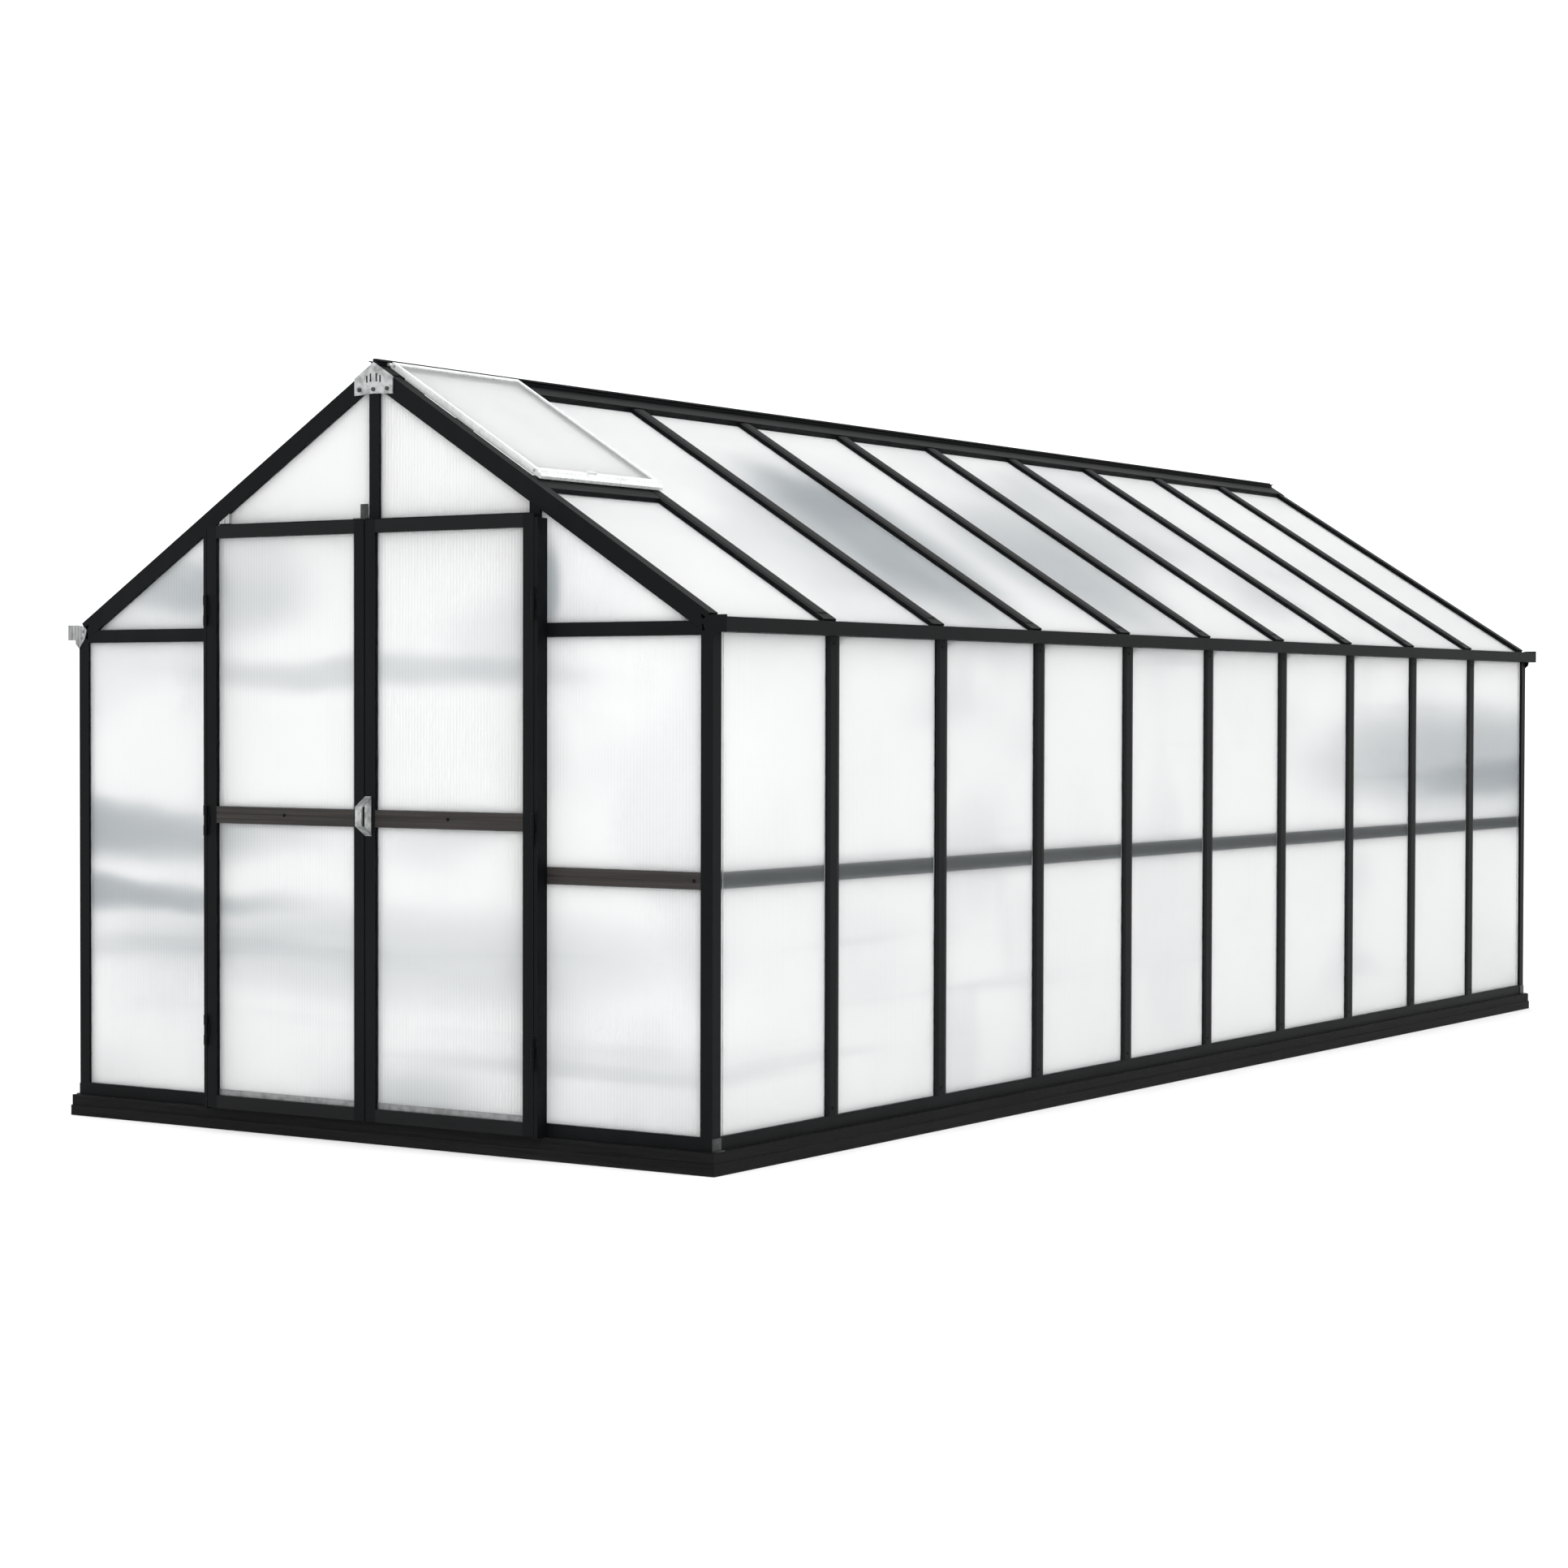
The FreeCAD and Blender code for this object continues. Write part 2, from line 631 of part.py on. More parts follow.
def post_gussets():
    """Small plates behind the sheets that tie each side bar to its gutter."""
    x = half_width - cap_thick - groove - gusset_gap
    made = []
    for y in bar_places:
        y0 = y + box_width / 2
        z = eave_bottom
        low = z - gusset_drop
        points = [(y0, z), (y0 + gusset_reach, z), (y0 + gusset_reach - 25, z - 9), (y0 + 26, low), (y0, low)]
        plate = prism([(x, a, b) for a, b in points], (gusset_thick, 0, 0))
        made += [plate, mirrored(plate)]
    return made


def anchor_brackets():
    """The four angles that hold the corners down on the timber base."""
    x, y0 = half_width, -gable_inner - post
    y1 = y0 + anchor_length
    upright = box(x, x + anchor_thick, y0, y1, board_top, board_top + anchor_height)
    base = box(x, x + anchor_foot, y0, y1, board_top, board_top + anchor_thick)
    angle = joined([upright, base])
    made = [angle, mirrored(angle)]
    return made + [reversed_end(a) for a in made]


def keeper():
    """The bracket over the meeting stiles: an upright on the header and a shelf that takes the left leaf's bolt."""
    z = leaf_top + keeper_gap
    x, back = keeper_left, -gable_face
    upright = box(x, x + keeper_width, back - keeper_thick, back, z, z + keeper_height)
    shelf = box(x, x + keeper_shelf, -leaf_front + 8, back, z, z + keeper_thick)
    hole = Part.makeCylinder(bolt_radius + bolt_play, keeper_thick, V(bolt_x, bolt_y, z), V(0, 0, 1))
    return joined([upright, shelf]).cut(hole)



def bolt_guide():
    """The block in the top of the left leaf's meeting stile that the bolt runs in."""
    block = box(bolt_x - 9, bolt_x + 9, bolt_y - 9, bolt_y + 9, leaf_top - guide_height, leaf_top)
    return block.cut(Part.makeCylinder(bolt_radius + guide_play, guide_height, V(bolt_x, bolt_y, leaf_top - guide_height)))


def slide_bolt():
    """The left leaf's flush bolt: a rod in the stile's void, with a thumb tab through the stile's back."""
    rod = Part.makeCylinder(bolt_radius, bolt_length, V(bolt_x, bolt_y, leaf_top - bolt_length - 1), V(0, 0, 1))
    z = leaf_top - bolt_length + 6
    tab = box(bolt_x - 3, bolt_x + 3, bolt_y, -leaf_back + 5, z, z + 10)
    return joined([rod, tab])


def stile(x0, x1, groove_side):
    """A leaf's upright, from bottom to top, grooved on one side for the sheets."""
    mid = -(leaf_back + leaf_thick / 2)
    shape = box(x0, x1, -leaf_front, -leaf_back, leaf_bottom, leaf_top)
    edge = x1 if groove_side > 0 else x0
    half = groove / 2
    shape = shape.cut(box(edge, edge - groove_side * groove_depth, mid - half, mid + half, leaf_bottom, leaf_top))
    inner = edge - groove_side * (groove_depth + tube_wall)
    outer = x0 + tube_wall if groove_side > 0 else x1 - tube_wall
    return hollow(
        shape, inner, outer, -leaf_front + tube_wall, -leaf_back - tube_wall, leaf_bottom, leaf_top
    )


def leaf_rail(bottom, height, grooves, line=False):
    """A level member of the right-hand leaf between its stiles."""
    x0, x1 = leaf_gap / 2 + stile_width, leaf_edge - stile_width
    mid = -(leaf_back + leaf_thick / 2)
    half = groove / 2
    shape = box(x0, x1, -leaf_front, -leaf_back, bottom, bottom + height)
    for side in grooves:
        edge = bottom + height - groove_depth if side > 0 else bottom
        shape = shape.cut(box(x0, x1, mid - half, mid + half, edge, edge + groove_depth))
    if line:
        z = bottom + height * 0.55
        shape = shape.cut(box(x0, x1, -leaf_front, -leaf_front + 1.5, z, z + 2.5))
    low = bottom + (groove_depth if -1 in grooves else 0) + tube_wall
    high = bottom + height - (groove_depth if 1 in grooves else 0) - tube_wall
    return hollow(shape, x0, x1, -leaf_front + tube_wall + 1.5, -leaf_back - tube_wall, low, high)


def leaf_stiles():
    """The right-hand leaf's meeting stile and hinge stile."""
    meeting = stile(leaf_gap / 2, leaf_gap / 2 + stile_width, 1)
    hinge = stile(leaf_edge - stile_width, leaf_edge, -1)
    return [meeting, hinge]


def leaf_rails():
    return [
        leaf_rail(leaf_top - top_rail, top_rail, (-1,)),
        leaf_rail(mid_rail_bottom, mid_rail, (-1, 1), line=True),
        leaf_rail(leaf_bottom, bottom_rail, (1,)),
    ]


def leaf_panels():
    """The right-hand leaf's lower and upper sheets."""
    x0 = leaf_gap / 2 + stile_width - panel_bite
    x1 = leaf_edge - stile_width + panel_bite
    y = leaf_back + leaf_thick / 2 - panel_thick / 2
    low = leaf_bottom + bottom_rail - panel_bite
    mid_low, mid_high = mid_rail_bottom + panel_bite, mid_rail_bottom + mid_rail - panel_bite
    high = leaf_top - top_rail + panel_bite
    return [box(x0, x1, -y - panel_thick, -y, a, b) for a, b in ((low, mid_low), (mid_high, high))]


def leaf_trim():
    """The bare aluminium strip along the foot of a leaf's lower sheet."""
    x0, x1 = leaf_gap / 2 + stile_width, leaf_edge - stile_width
    y = leaf_back + leaf_thick / 2 + panel_thick / 2 + panel_play
    z = leaf_bottom + bottom_rail
    return box(x0, x1, -y - trim_thick, -y, z, z + trim_height)


def hinge_barrel(z0, z1):
    return Part.makeCylinder(hinge_radius, z1 - z0, V(hinge_x, hinge_y, z0), V(0, 0, 1))


def door_frame():
    """The right-hand side of the door frame: a box section standing forward beside the leaf, with a flange on the jamb."""
    tube = box(frame_inner, frame_outer, -leaf_front, -gable_face, board_top, frame_top)
    inside = box(
        frame_inner + tube_wall, frame_outer - tube_wall, -leaf_front + tube_wall, -gable_face - tube_wall,
        board_top, frame_top,
    )
    x0 = frame_inner - frame_flange_width
    flange = box(x0, frame_outer, -gable_face - frame_flange, -gable_face, board_top, frame_top)
    return joined([tube.cut(inside), flange])


def fixed_hinges():
    """The frame's half of each right-hand hinge: a plate, the two outer knuckles and the pin."""
    made = []
    third = hinge_height / 3
    for z in hinge_heights:
        low = z - hinge_height / 2
        parts = [Part.makeCylinder(hinge_pin_radius, hinge_height, V(hinge_x, hinge_y, low), V(0, 0, 1))]
        for z0 in (low, low + 2 * third):
            parts.append(hinge_barrel(z0, z0 + third))
            plate = hinge_x, hinge_x + hinge_plate_width
            parts.append(box(*plate, -leaf_front - hinge_plate, -leaf_front, z0, z0 + third))
        made.append(joined(parts))
    return made


def moving_hinges():
    """The right-hand leaf's half of each hinge: the middle knuckle and its plate on the stile."""
    made = []
    third = hinge_height / 3
    for z in hinge_heights:
        z0, z1 = z - third / 2 + knuckle_gap, z + third / 2 - knuckle_gap
        plate = hinge_x - hinge_plate_width, hinge_x - frame_gap / 4
        barrel = hinge_barrel(z0, z1)
        shape = joined([barrel, box(*plate, -leaf_front - hinge_plate, -leaf_front, z0, z1)])
        radius = hinge_pin_radius + hinge_pin_play
        made.append(shape.cut(Part.makeCylinder(radius, z1 - z0, V(hinge_x, hinge_y, z0), V(0, 0, 1))))
    return made


def handle():
    """The right-hand leaf's pull: a bow with sloping ends, cast with the plate behind it."""
    x0 = leaf_gap / 2
    y = -leaf_front
    z, half, grip, t = handle_centre, handle_height / 2, handle_grip / 2, handle_thick
    reach = handle_reach
    run = math.hypot(half - grip, reach)
    foot = t * run / reach  # the sloping end's thickness, measured along the stile
    turn = t * (run - (half - grip)) / reach
    points = [
        (y, z - half), (y - reach, z - grip), (y - reach, z + grip), (y, z + half), (y, z + half - foot),
        (y - reach + t, z + grip - turn), (y - reach + t, z - grip + turn), (y, z - half + foot),
    ]
    bow = prism([(x0, a, b) for a, b in points], (handle_width, 0, 0))
    return joined([bow, box(x0, x0 + handle_width, y - handle_plate, y, z - half, z + half)])


def vent_frame():
    """The right-hand vent's sash: a hinge rail with its bead, two side rails and a stepped nose rail."""
    z0, z1 = vent_lift, vent_lift + vent_rail_height
    w = vent_rail_width
    s0, s1 = vent_top_rail, vent_end
    bead = Part.makeCylinder(bulb_radius, vent_y1 - vent_y0, V(bulb_along, vent_y0, bulb_rise), V(0, 1, 0))
    neck = box(bulb_along, s0 + 2, vent_y0, vent_y1, bulb_rise - 2, bulb_rise + 2)
    top = joined([bead, neck, box(s0, s0 + 16, vent_y0, vent_y1, z0, z1)])
    mid = (z0 + z1) / 2
    half = groove / 2
    top = top.cut(box(s0 + 8, s0 + 16, vent_y0, vent_y1, mid - half, mid + half))
    nose = s1 - vent_bottom_rail
    steps = [
        (nose, z0), (nose, z1), (nose + 16, z1), (nose + 18, z1 - 5), (nose + 23, z1 - 5), (nose + 25, z1 - 2),
        (s1, z1 - 9), (s1, z0),
    ]
    bottom = prism([(a, vent_y0, b) for a, b in steps], (0, vent_y1 - vent_y0, 0))
    bottom = bottom.cut(box(nose, nose + 8, vent_y0, vent_y1, mid - half, mid + half))
    sides = []
    for y, inward in ((vent_y0, 1), (vent_y1, -1)):
        rail = box(s0 + 16, nose, y, y + inward * w, z0, z1)
        edge = y + inward * w
        sides.append(rail.cut(box(s0 + 16, nose, edge, edge - inward * 8, mid - half, mid + half)))
    return [on_slope(s, 1) for s in (top, bottom, *sides)]


def vent_sheet():
    """The right-hand vent's sheet, held in the sash's grooves."""
    mid = vent_lift + vent_rail_height / 2
    w = vent_rail_width - 7
    s0, s1 = vent_top_rail + 16 - 7, vent_end - vent_bottom_rail + 7
    z = panel_thick / 2
    return on_slope(box(s0, s1, vent_y0 + w, vent_y1 - w, mid - z, mid + z), 1)


def vent_clip():
    """The small catch on the vent's nose rail."""
    nose = vent_end - vent_bottom_rail
    y = vent_y0 + (vent_y1 - vent_y0) * 0.4
    z1 = vent_lift + vent_rail_height
    return on_slope(box(nose + 1, nose + 13, y, y + 42, z1, z1 + 6), 1)


def stay_place():
    """Where the stay's pin is: down the slope, across the bay, and out of the roof."""
    return vent_end - vent_bottom_rail - 42, (vent_y0 + vent_y1) / 2, -stay_width / 2


def stay_bracket():
    """The fork under the vent's nose rail that holds the stay's pin."""
    s, y, z = stay_place()
    plate = box(s - 12, vent_end - vent_bottom_rail + 10, y - 12, y + 12, vent_lift - 3, vent_lift)
    ears = []
    for side in (-1, 1):
        inner = y + side * (stay_thick / 2 + 0.6)
        ears.append(box(s - 10, s + 10, inner, inner + side * 3, z - 9, vent_lift - 2))
    pin = Part.makeCylinder(stay_pin_radius, stay_thick + 7, V(s, y - stay_thick / 2 - 3.5, z), V(0, 1, 0))
    return on_slope(joined([plate, *ears, pin]), 1)


def stay():
    """The right-hand vent's stay: a flat bar with a row of peg holes, folded up under the sash."""
    s, y, z = stay_place()
    t, w = stay_thick, stay_width
    bar = box(s - stay_length, s, y - t / 2, y + t / 2, z - w / 2, z + w / 2)
    end = Part.makeCylinder(w / 2, t, V(s, y - t / 2, z), V(0, 1, 0))
    bar = joined([bar, end])
    holes = [s] + [s - 80 - 50 * k for k in range(7)]
    for x in holes:
        radius = stay_pin_radius + stay_pin_play
        bar = bar.cut(Part.makeCylinder(radius, t, V(x, y - t / 2, z), V(0, 1, 0)))
    return on_slope(bar, 1)


def left_stiles():
    """The left leaf's stiles. The meeting stile has a slot in its back for the bolt's thumb tab."""
    meeting, hinge = [mirrored(s) for s in leaf_stiles()]
    z = leaf_top - bolt_length + 4
    slot = box(bolt_x - 4, bolt_x + 4, -leaf_back - tube_wall - 1, -leaf_back + 1, z, z + 14 + bolt_travel)
    return [meeting.cut(slot), hinge]


def main():
    os.makedirs("parts", exist_ok=True)
    write("base_boards_lower", base_boards(0))
    write("base_boards_upper", base_boards(1))
    sill = gable_sill()
    write("gable_sills", [sill, reversed_end(sill)])
    write("side_sills", [side_sill(), mirrored(side_sill())])
    corner = corner_post()
    fronts = [corner, mirrored(corner)]
    write("corner_posts", fronts + [reversed_end(c) for c in fronts])
    beam = gutter()
    write("gutter_right", beam)
    write("gutter_left", mirrored(beam))
    write("ridge_beam", ridge_beam())
    rafter = gable_rafter()
    write("gable_rafters_front", [rafter, mirrored(rafter)])
    write("gable_rafters_rear", [reversed_end(rafter), reversed_end(mirrored(rafter))])
    write("door_jambs", front_jambs())
    write("door_header", gable_rail(-jamb_inner, jamb_inner, header_bottom, header_height, (1,)))
    rear_king = reversed_end(king_post(rail_bottom + rail_height))
    write("king_posts", [king_post(header_bottom + header_height), rear_king])
    rail = gable_rail(jamb_outer, wall_inner, rail_bottom, rail_height, (-1, 1))
    middle = gable_rail(-jamb_inner, jamb_inner, rail_bottom, rail_height, (-1, 1))
    write("gable_rails_front", [rail, mirrored(rail)])
    write("gable_rails_rear", [reversed_end(r) for r in (rail, mirrored(rail), middle)])
    write("rear_gable_posts", rear_posts())
    write("girt_front", front_girt())
    girts = [girt_segment(k) for k in range(bay_count)]
    write("girts_right", girts)
    write("girts_left", [mirrored(g) for g in girts])
    write("girts_rear", rear_girts())
    for side, word in ((1, "right"), (-1, "left")):
        write(f"wall_bars_{word}", wall_bars(side))
        write(f"roof_bars_{word}", roof_bars(side))
        write(f"wall_panels_{word}", wall_panels(side))
        write(f"roof_panels_{word}", roof_panels(side))
    write("gable_panels_front", front_panels())
    write("gable_panels_rear", rear_panels())
    write("vent_trimmers", [vent_trimmer(1), vent_trimmer(-1)])
    plate = ridge_plate()
    write("ridge_plates", [plate, reversed_end(plate)])
    write("ridge_bolts", ridge_bolts())
    bracket = eave_bracket()
    brackets = [bracket, mirrored(bracket)]
    write("eave_brackets", brackets + [reversed_end(b) for b in brackets])
    write("post_gussets", post_gussets())
    write("anchor_brackets", anchor_brackets())
    write("bolt_keeper", keeper())
    write("door_frame", [door_frame(), mirrored(door_frame())])
    hinges = fixed_hinges()
    write("frame_hinges", hinges + [mirrored(h) for h in hinges])

    write("right_door_stiles", leaf_stiles())
    write("right_door_rails", leaf_rails())
    write("right_door_panels", leaf_panels())
    write("right_door_trim", leaf_trim())
    write("right_door_hinges", moving_hinges())
    write("pull_handle", handle())
    write("left_door_stiles", left_stiles())
    write("left_door_rails", [mirrored(r) for r in leaf_rails()])
    write("left_door_panels", [mirrored(p) for p in leaf_panels()])
    write("left_door_trim", mirrored(leaf_trim()))
    write("left_door_hinges", [mirrored(h) for h in moving_hinges()])
    write("slide_bolt", slide_bolt())
    write("bolt_guide", bolt_guide())

    write("right_vent_frame", vent_frame())
    write("right_vent_panel", vent_sheet())
    write("right_vent_fittings", [vent_clip(), stay_bracket()])
    write("right_vent_stay", stay())
    write("left_vent_frame", [mirrored(s) for s in vent_frame()])
    write("left_vent_panel", mirrored(vent_sheet()))
    write("left_vent_fittings", [mirrored(vent_clip()), mirrored(stay_bracket())])
    write("left_vent_stay", mirrored(stay()))


main()
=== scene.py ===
"""Looks for the walk-in gable greenhouse: sheets, coated bars, bare metal, stained boards and the studio."""

import json
import math

import bmesh
import bpy
from bpy.props import FloatProperty, FloatVectorProperty, PointerProperty
from mathutils import Matrix, Vector


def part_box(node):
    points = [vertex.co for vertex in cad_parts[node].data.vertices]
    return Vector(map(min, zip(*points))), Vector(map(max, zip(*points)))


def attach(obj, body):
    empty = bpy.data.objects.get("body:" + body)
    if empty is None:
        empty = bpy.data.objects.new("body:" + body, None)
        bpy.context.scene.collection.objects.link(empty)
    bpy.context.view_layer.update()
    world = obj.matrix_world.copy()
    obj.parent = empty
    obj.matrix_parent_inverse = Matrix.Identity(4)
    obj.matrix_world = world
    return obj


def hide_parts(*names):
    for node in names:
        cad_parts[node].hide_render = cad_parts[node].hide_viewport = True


bl_info = {
    "name": "Walk-in Greenhouse",
    "version": (1, 0, 0),
    "blender": (4, 5, 0),
    "location": "3D View > Sidebar > Greenhouse",
    "description": "Dresses a gable greenhouse: ribbed twin-wall sheets, coated bars, screws and a plain studio",
    "category": "Object",
}

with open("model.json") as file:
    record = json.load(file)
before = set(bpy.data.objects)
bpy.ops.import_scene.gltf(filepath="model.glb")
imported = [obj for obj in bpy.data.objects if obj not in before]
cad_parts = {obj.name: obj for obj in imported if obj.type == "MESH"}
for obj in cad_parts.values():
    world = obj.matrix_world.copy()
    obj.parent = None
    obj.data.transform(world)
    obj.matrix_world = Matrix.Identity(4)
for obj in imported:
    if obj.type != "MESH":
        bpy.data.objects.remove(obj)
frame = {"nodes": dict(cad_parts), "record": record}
NODES = frame["nodes"]
BODY_OF = {node: body for body, nodes in frame["record"]["behaviour"]["bodies"].items() for node in nodes}
SLOT_OF = {part["node"]: part["material_slot"] for part in frame["record"]["subparts"]}

MM = 0.001
SHEET_THICK = 8 * MM
WALL_SHEETS = ("wall_panels_left", "wall_panels_right")
ROOF_SHEETS = ("roof_panels_left", "roof_panels_right", "left_vent_panel", "right_vent_panel")
GABLE_SHEETS = ("gable_panels_front", "gable_panels_rear", "left_door_panels", "right_door_panels")
BOARDS = ("base_boards_lower", "base_boards_upper")
BROWN_NODES = ("girt_front",)
LEAF_RAILS = ("left_door_rails", "right_door_rails")
#: Painted shade in the sheets, standing in for things behind them seen blurred through: the middle, the reach along
#: each axis and how strong it is
PAINTED_SHADE_SPOTS = (
    ((-1.25, -3.0, 0.890), (1.30, 0.6, 0.140), 0.75),
    ((-1.25, -3.0, 0.690), (1.30, 0.6, 0.080), 0.75),
    ((0.10, -3.0, 0.560), (1.60, 0.6, 0.220), 0.28),
    ((0.00, -3.0, 1.370), (1.10, 0.6, 0.080), 0.35),
    ((0.630, -3.0, 1.620), (0.060, 0.2, 0.170), 0.80),
    ((-0.80, -3.0, 1.640), (0.35, 0.4, 0.130), 0.50),
    ((0.70, -1.35, 1.800), (0.75, 0.60, 0.7), 0.75),
    ((0.75, -0.30, 1.750), (0.60, 0.80, 0.7), 0.50),
    ((1.20, 2.60, 1.080), (0.4, 2.40, 0.300), 0.60),
    ((1.20, 2.90, 1.000), (0.4, 1.30, 0.120), 0.35),
)


# ---------------------------------------------------------------------------------------------------------------
# Shader maths
# ---------------------------------------------------------------------------------------------------------------


class Value:
    """A number socket in a material, with arithmetic that adds Math nodes."""

    def __init__(self, maker, socket):
        self.maker = maker
        self.socket = socket

    def _math(self, operation, *operands, clamp=False):
        inputs = {index: operand for index, operand in enumerate(operands)}
        return self.maker.number("ShaderNodeMath", {"operation": operation, "use_clamp": clamp}, inputs)

    def __add__(self, other):
        return self._math("ADD", self, other)

    __radd__ = __add__

    def __sub__(self, other):
        return self._math("SUBTRACT", self, other)

    def __rsub__(self, other):
        return self._math("SUBTRACT", other, self)

    def __mul__(self, other):
        return self._math("MULTIPLY", self, other)

    __rmul__ = __mul__

    def __truediv__(self, other):
        return self._math("DIVIDE", self, other)

    def __pow__(self, other):
        return self._math("POWER", self, other)

    def __gt__(self, other):
        return self._math("GREATER_THAN", self, other)

    def __lt__(self, other):
        return self._math("LESS_THAN", self, other)

    def clamped(self):
        """The value kept between 0 and 1."""
        return self._math("ADD", self, 0.0, clamp=True)

    def cosine(self):
        """The cosine of the value."""
        return self._math("COSINE", self)

    def between(self, low, high):
        """1 from low to high and 0 elsewhere."""
        return (self > low) * (self < high)

    def ramp(self, low, high):
        """0 below low and 1 above high, with a soft step between."""
        return self.maker.number(
            "ShaderNodeMapRange",
            {"interpolation_type": "SMOOTHSTEP", "clamp": True},
            {"Value": self, "From Min": low, "From Max": high},
        )


class Maker:
    """Builds one material's nodes."""

    def __init__(self, name):
        self.material = bpy.data.materials.new(name)
        self.material.use_nodes = True
        self.tree = self.material.node_tree
        self.tree.nodes.clear()
        coordinates = self.tree.nodes.new("ShaderNodeTexCoord")
        self.place = coordinates.outputs["Object"]
        split = self.tree.nodes.new("ShaderNodeSeparateXYZ")
        self.tree.links.new(self.place, split.inputs[0])
        self.x, self.y, self.z = (Value(self, split.outputs[axis]) for axis in "XYZ")

    def node(self, kind, settings=None, inputs=None):
        """A node of one type, with its settings set first and then its sockets' values or links."""
        made = self.tree.nodes.new(kind)
        for key, value in (settings or {}).items():
            setattr(made, key, value)
        for key, value in (inputs or {}).items():
            socket = made.inputs[key]
            if isinstance(value, Value):
                value = value.socket
            if isinstance(value, bpy.types.NodeSocket):
                self.tree.links.new(value, socket)
            else:
                socket.default_value = value
        return made

    def number(self, kind, settings, inputs, output=0):
        """A node's number output as a Value."""
        return Value(self, self.node(kind, settings, inputs).outputs[output])

    def mapped(self, scale, shift=(0.0, 0.0, 0.0)):
        """Object coordinates, stretched and moved."""
        mapping = self.node("ShaderNodeMapping", {}, {"Vector": self.place, "Scale": scale, "Location": shift})
        return mapping.outputs["Vector"]

    def noise(self, scale, size=1.0, detail=3.0, rough=0.55, shift=(0.0, 0.0, 0.0)):
        """Noise from 0 to 1 over stretched Object coordinates."""
        place = self.mapped(scale, shift)
        return self.number(
            "ShaderNodeTexNoise", {}, {"Vector": place, "Scale": size, "Detail": detail, "Roughness": rough}
        )

    def blend(self, factor, first, second):
        """A mix of two colours."""
        mix = self.node("ShaderNodeMix", {"data_type": "RGBA"}, {0: factor})
        for index, colour in ((6, first), (7, second)):
            if isinstance(colour, bpy.types.NodeSocket):
                self.tree.links.new(colour, mix.inputs[index])
            else:
                mix.inputs[index].default_value = (*colour[:3], 1.0)
        return mix.outputs[2]

    def spot(self, centre, size):
        """1 at a place and 0 past a distance from it, with a soft edge."""
        total = 0.0
        drift = (self.noise((1.3, 0.8, 2.2), 1.0, 3.0, 0.55, (2.0, 9.0, 0.0)) - 0.5) * 0.16
        for axis, middle, reach in zip((self.x, self.y, self.z + drift), centre, size):
            away = (axis - middle) / reach
            total = away * away + total
        return (1.0 - total.ramp(0.0, 1.0)) ** 2.0

    def bump(self, height, strength, distance):
        """A bumped normal."""
        made = self.node("ShaderNodeBump", {}, {"Height": height, "Strength": strength, "Distance": distance})
        return made.outputs["Normal"]

    def principled(self, **inputs):
        """A Principled shader. Names are its sockets' names with spaces as underscores."""
        named = {key.replace("_", " "): value for key, value in inputs.items()}
        return self.node("ShaderNodeBsdfPrincipled", {}, named).outputs[0]

    def done(self, shader):
        """Ends the material with a shader."""
        self.node("ShaderNodeOutputMaterial", {}, {"Surface": shader})
        return self.material


# ---------------------------------------------------------------------------------------------------------------
# Materials
# ---------------------------------------------------------------------------------------------------------------


def coated(name, colour):
    """Powder coat over aluminium: a fine pebbled skin with a faint film of dust."""
    m = Maker(name)
    cloud = m.noise((1.6, 1.6, 1.6), 1.0, 4.0, 0.6)
    speck = m.noise((700.0, 700.0, 700.0), 1.0, 2.0, 0.5)
    streak = m.noise((14.0, 14.0, 1.2), 1.0, 3.0, 0.6)
    dust = ((cloud * 0.6 + streak * 0.4).ramp(0.42, 0.72) * 0.6 + speck.ramp(0.5, 0.75) * 0.4).clamped()
    tint = m.blend(dust, colour, tuple(channel * 1.9 + 0.001 for channel in colour))
    rough = 0.44 + cloud * 0.12 + speck * 0.08
    normal = m.bump(speck, 0.2, 0.0005)
    return m.done(m.principled(Base_Color=tint, Roughness=rough, Normal=normal, Specular_IOR_Level=0.07))


def rail_coat(name, brown, black=None, low=0.0, high=0.0):
    """The brown coat, with drawn lines along X. With a black one given, brown is only between two heights."""
    m = Maker(name)
    streak = m.noise((2.0, 40.0, 160.0), 1.0, 4.0, 0.6)
    tint = m.blend(streak.ramp(0.3, 0.75), tuple(c * 0.7 for c in brown), tuple(c * 1.3 for c in brown))
    speck = m.noise((700.0, 700.0, 700.0), 1.0, 2.0, 0.5)
    if black:
        dark = m.blend(speck.ramp(0.5, 0.75), black, tuple(c * 1.6 for c in black))
        tint = m.blend(m.z.between(low, high), dark, tint)
    normal = m.bump(speck * 0.5 + streak, 0.12, 0.0004)
    rough = 0.40 + streak * 0.14
    return m.done(m.principled(Base_Color=tint, Roughness=rough, Normal=normal, Specular_IOR_Level=0.12))


def bare_metal(name, colour, stretch, rough=0.34, mottle=0.72):
    """Bare aluminium or zinc: drawn lines or a mottled skin, and a dull bloom."""
    m = Maker(name)
    lines = m.noise(stretch, 1.0, 4.0, 0.65)
    bloom = m.noise((38.0, 38.0, 38.0), 1.0, 4.0, 0.6)
    tint = m.blend(bloom.ramp(0.38, 0.66), colour, tuple(c * mottle for c in colour))
    tint = m.blend(lines.ramp(0.5, 0.75) * 0.6, tint, tuple(c * 0.55 for c in colour))
    normal = m.bump(lines, 0.12, 0.0004)
    shine = rough + bloom * 0.16 + lines * 0.08
    return m.done(m.principled(Base_Color=tint, Metallic=0.9, Roughness=shine, Normal=normal))


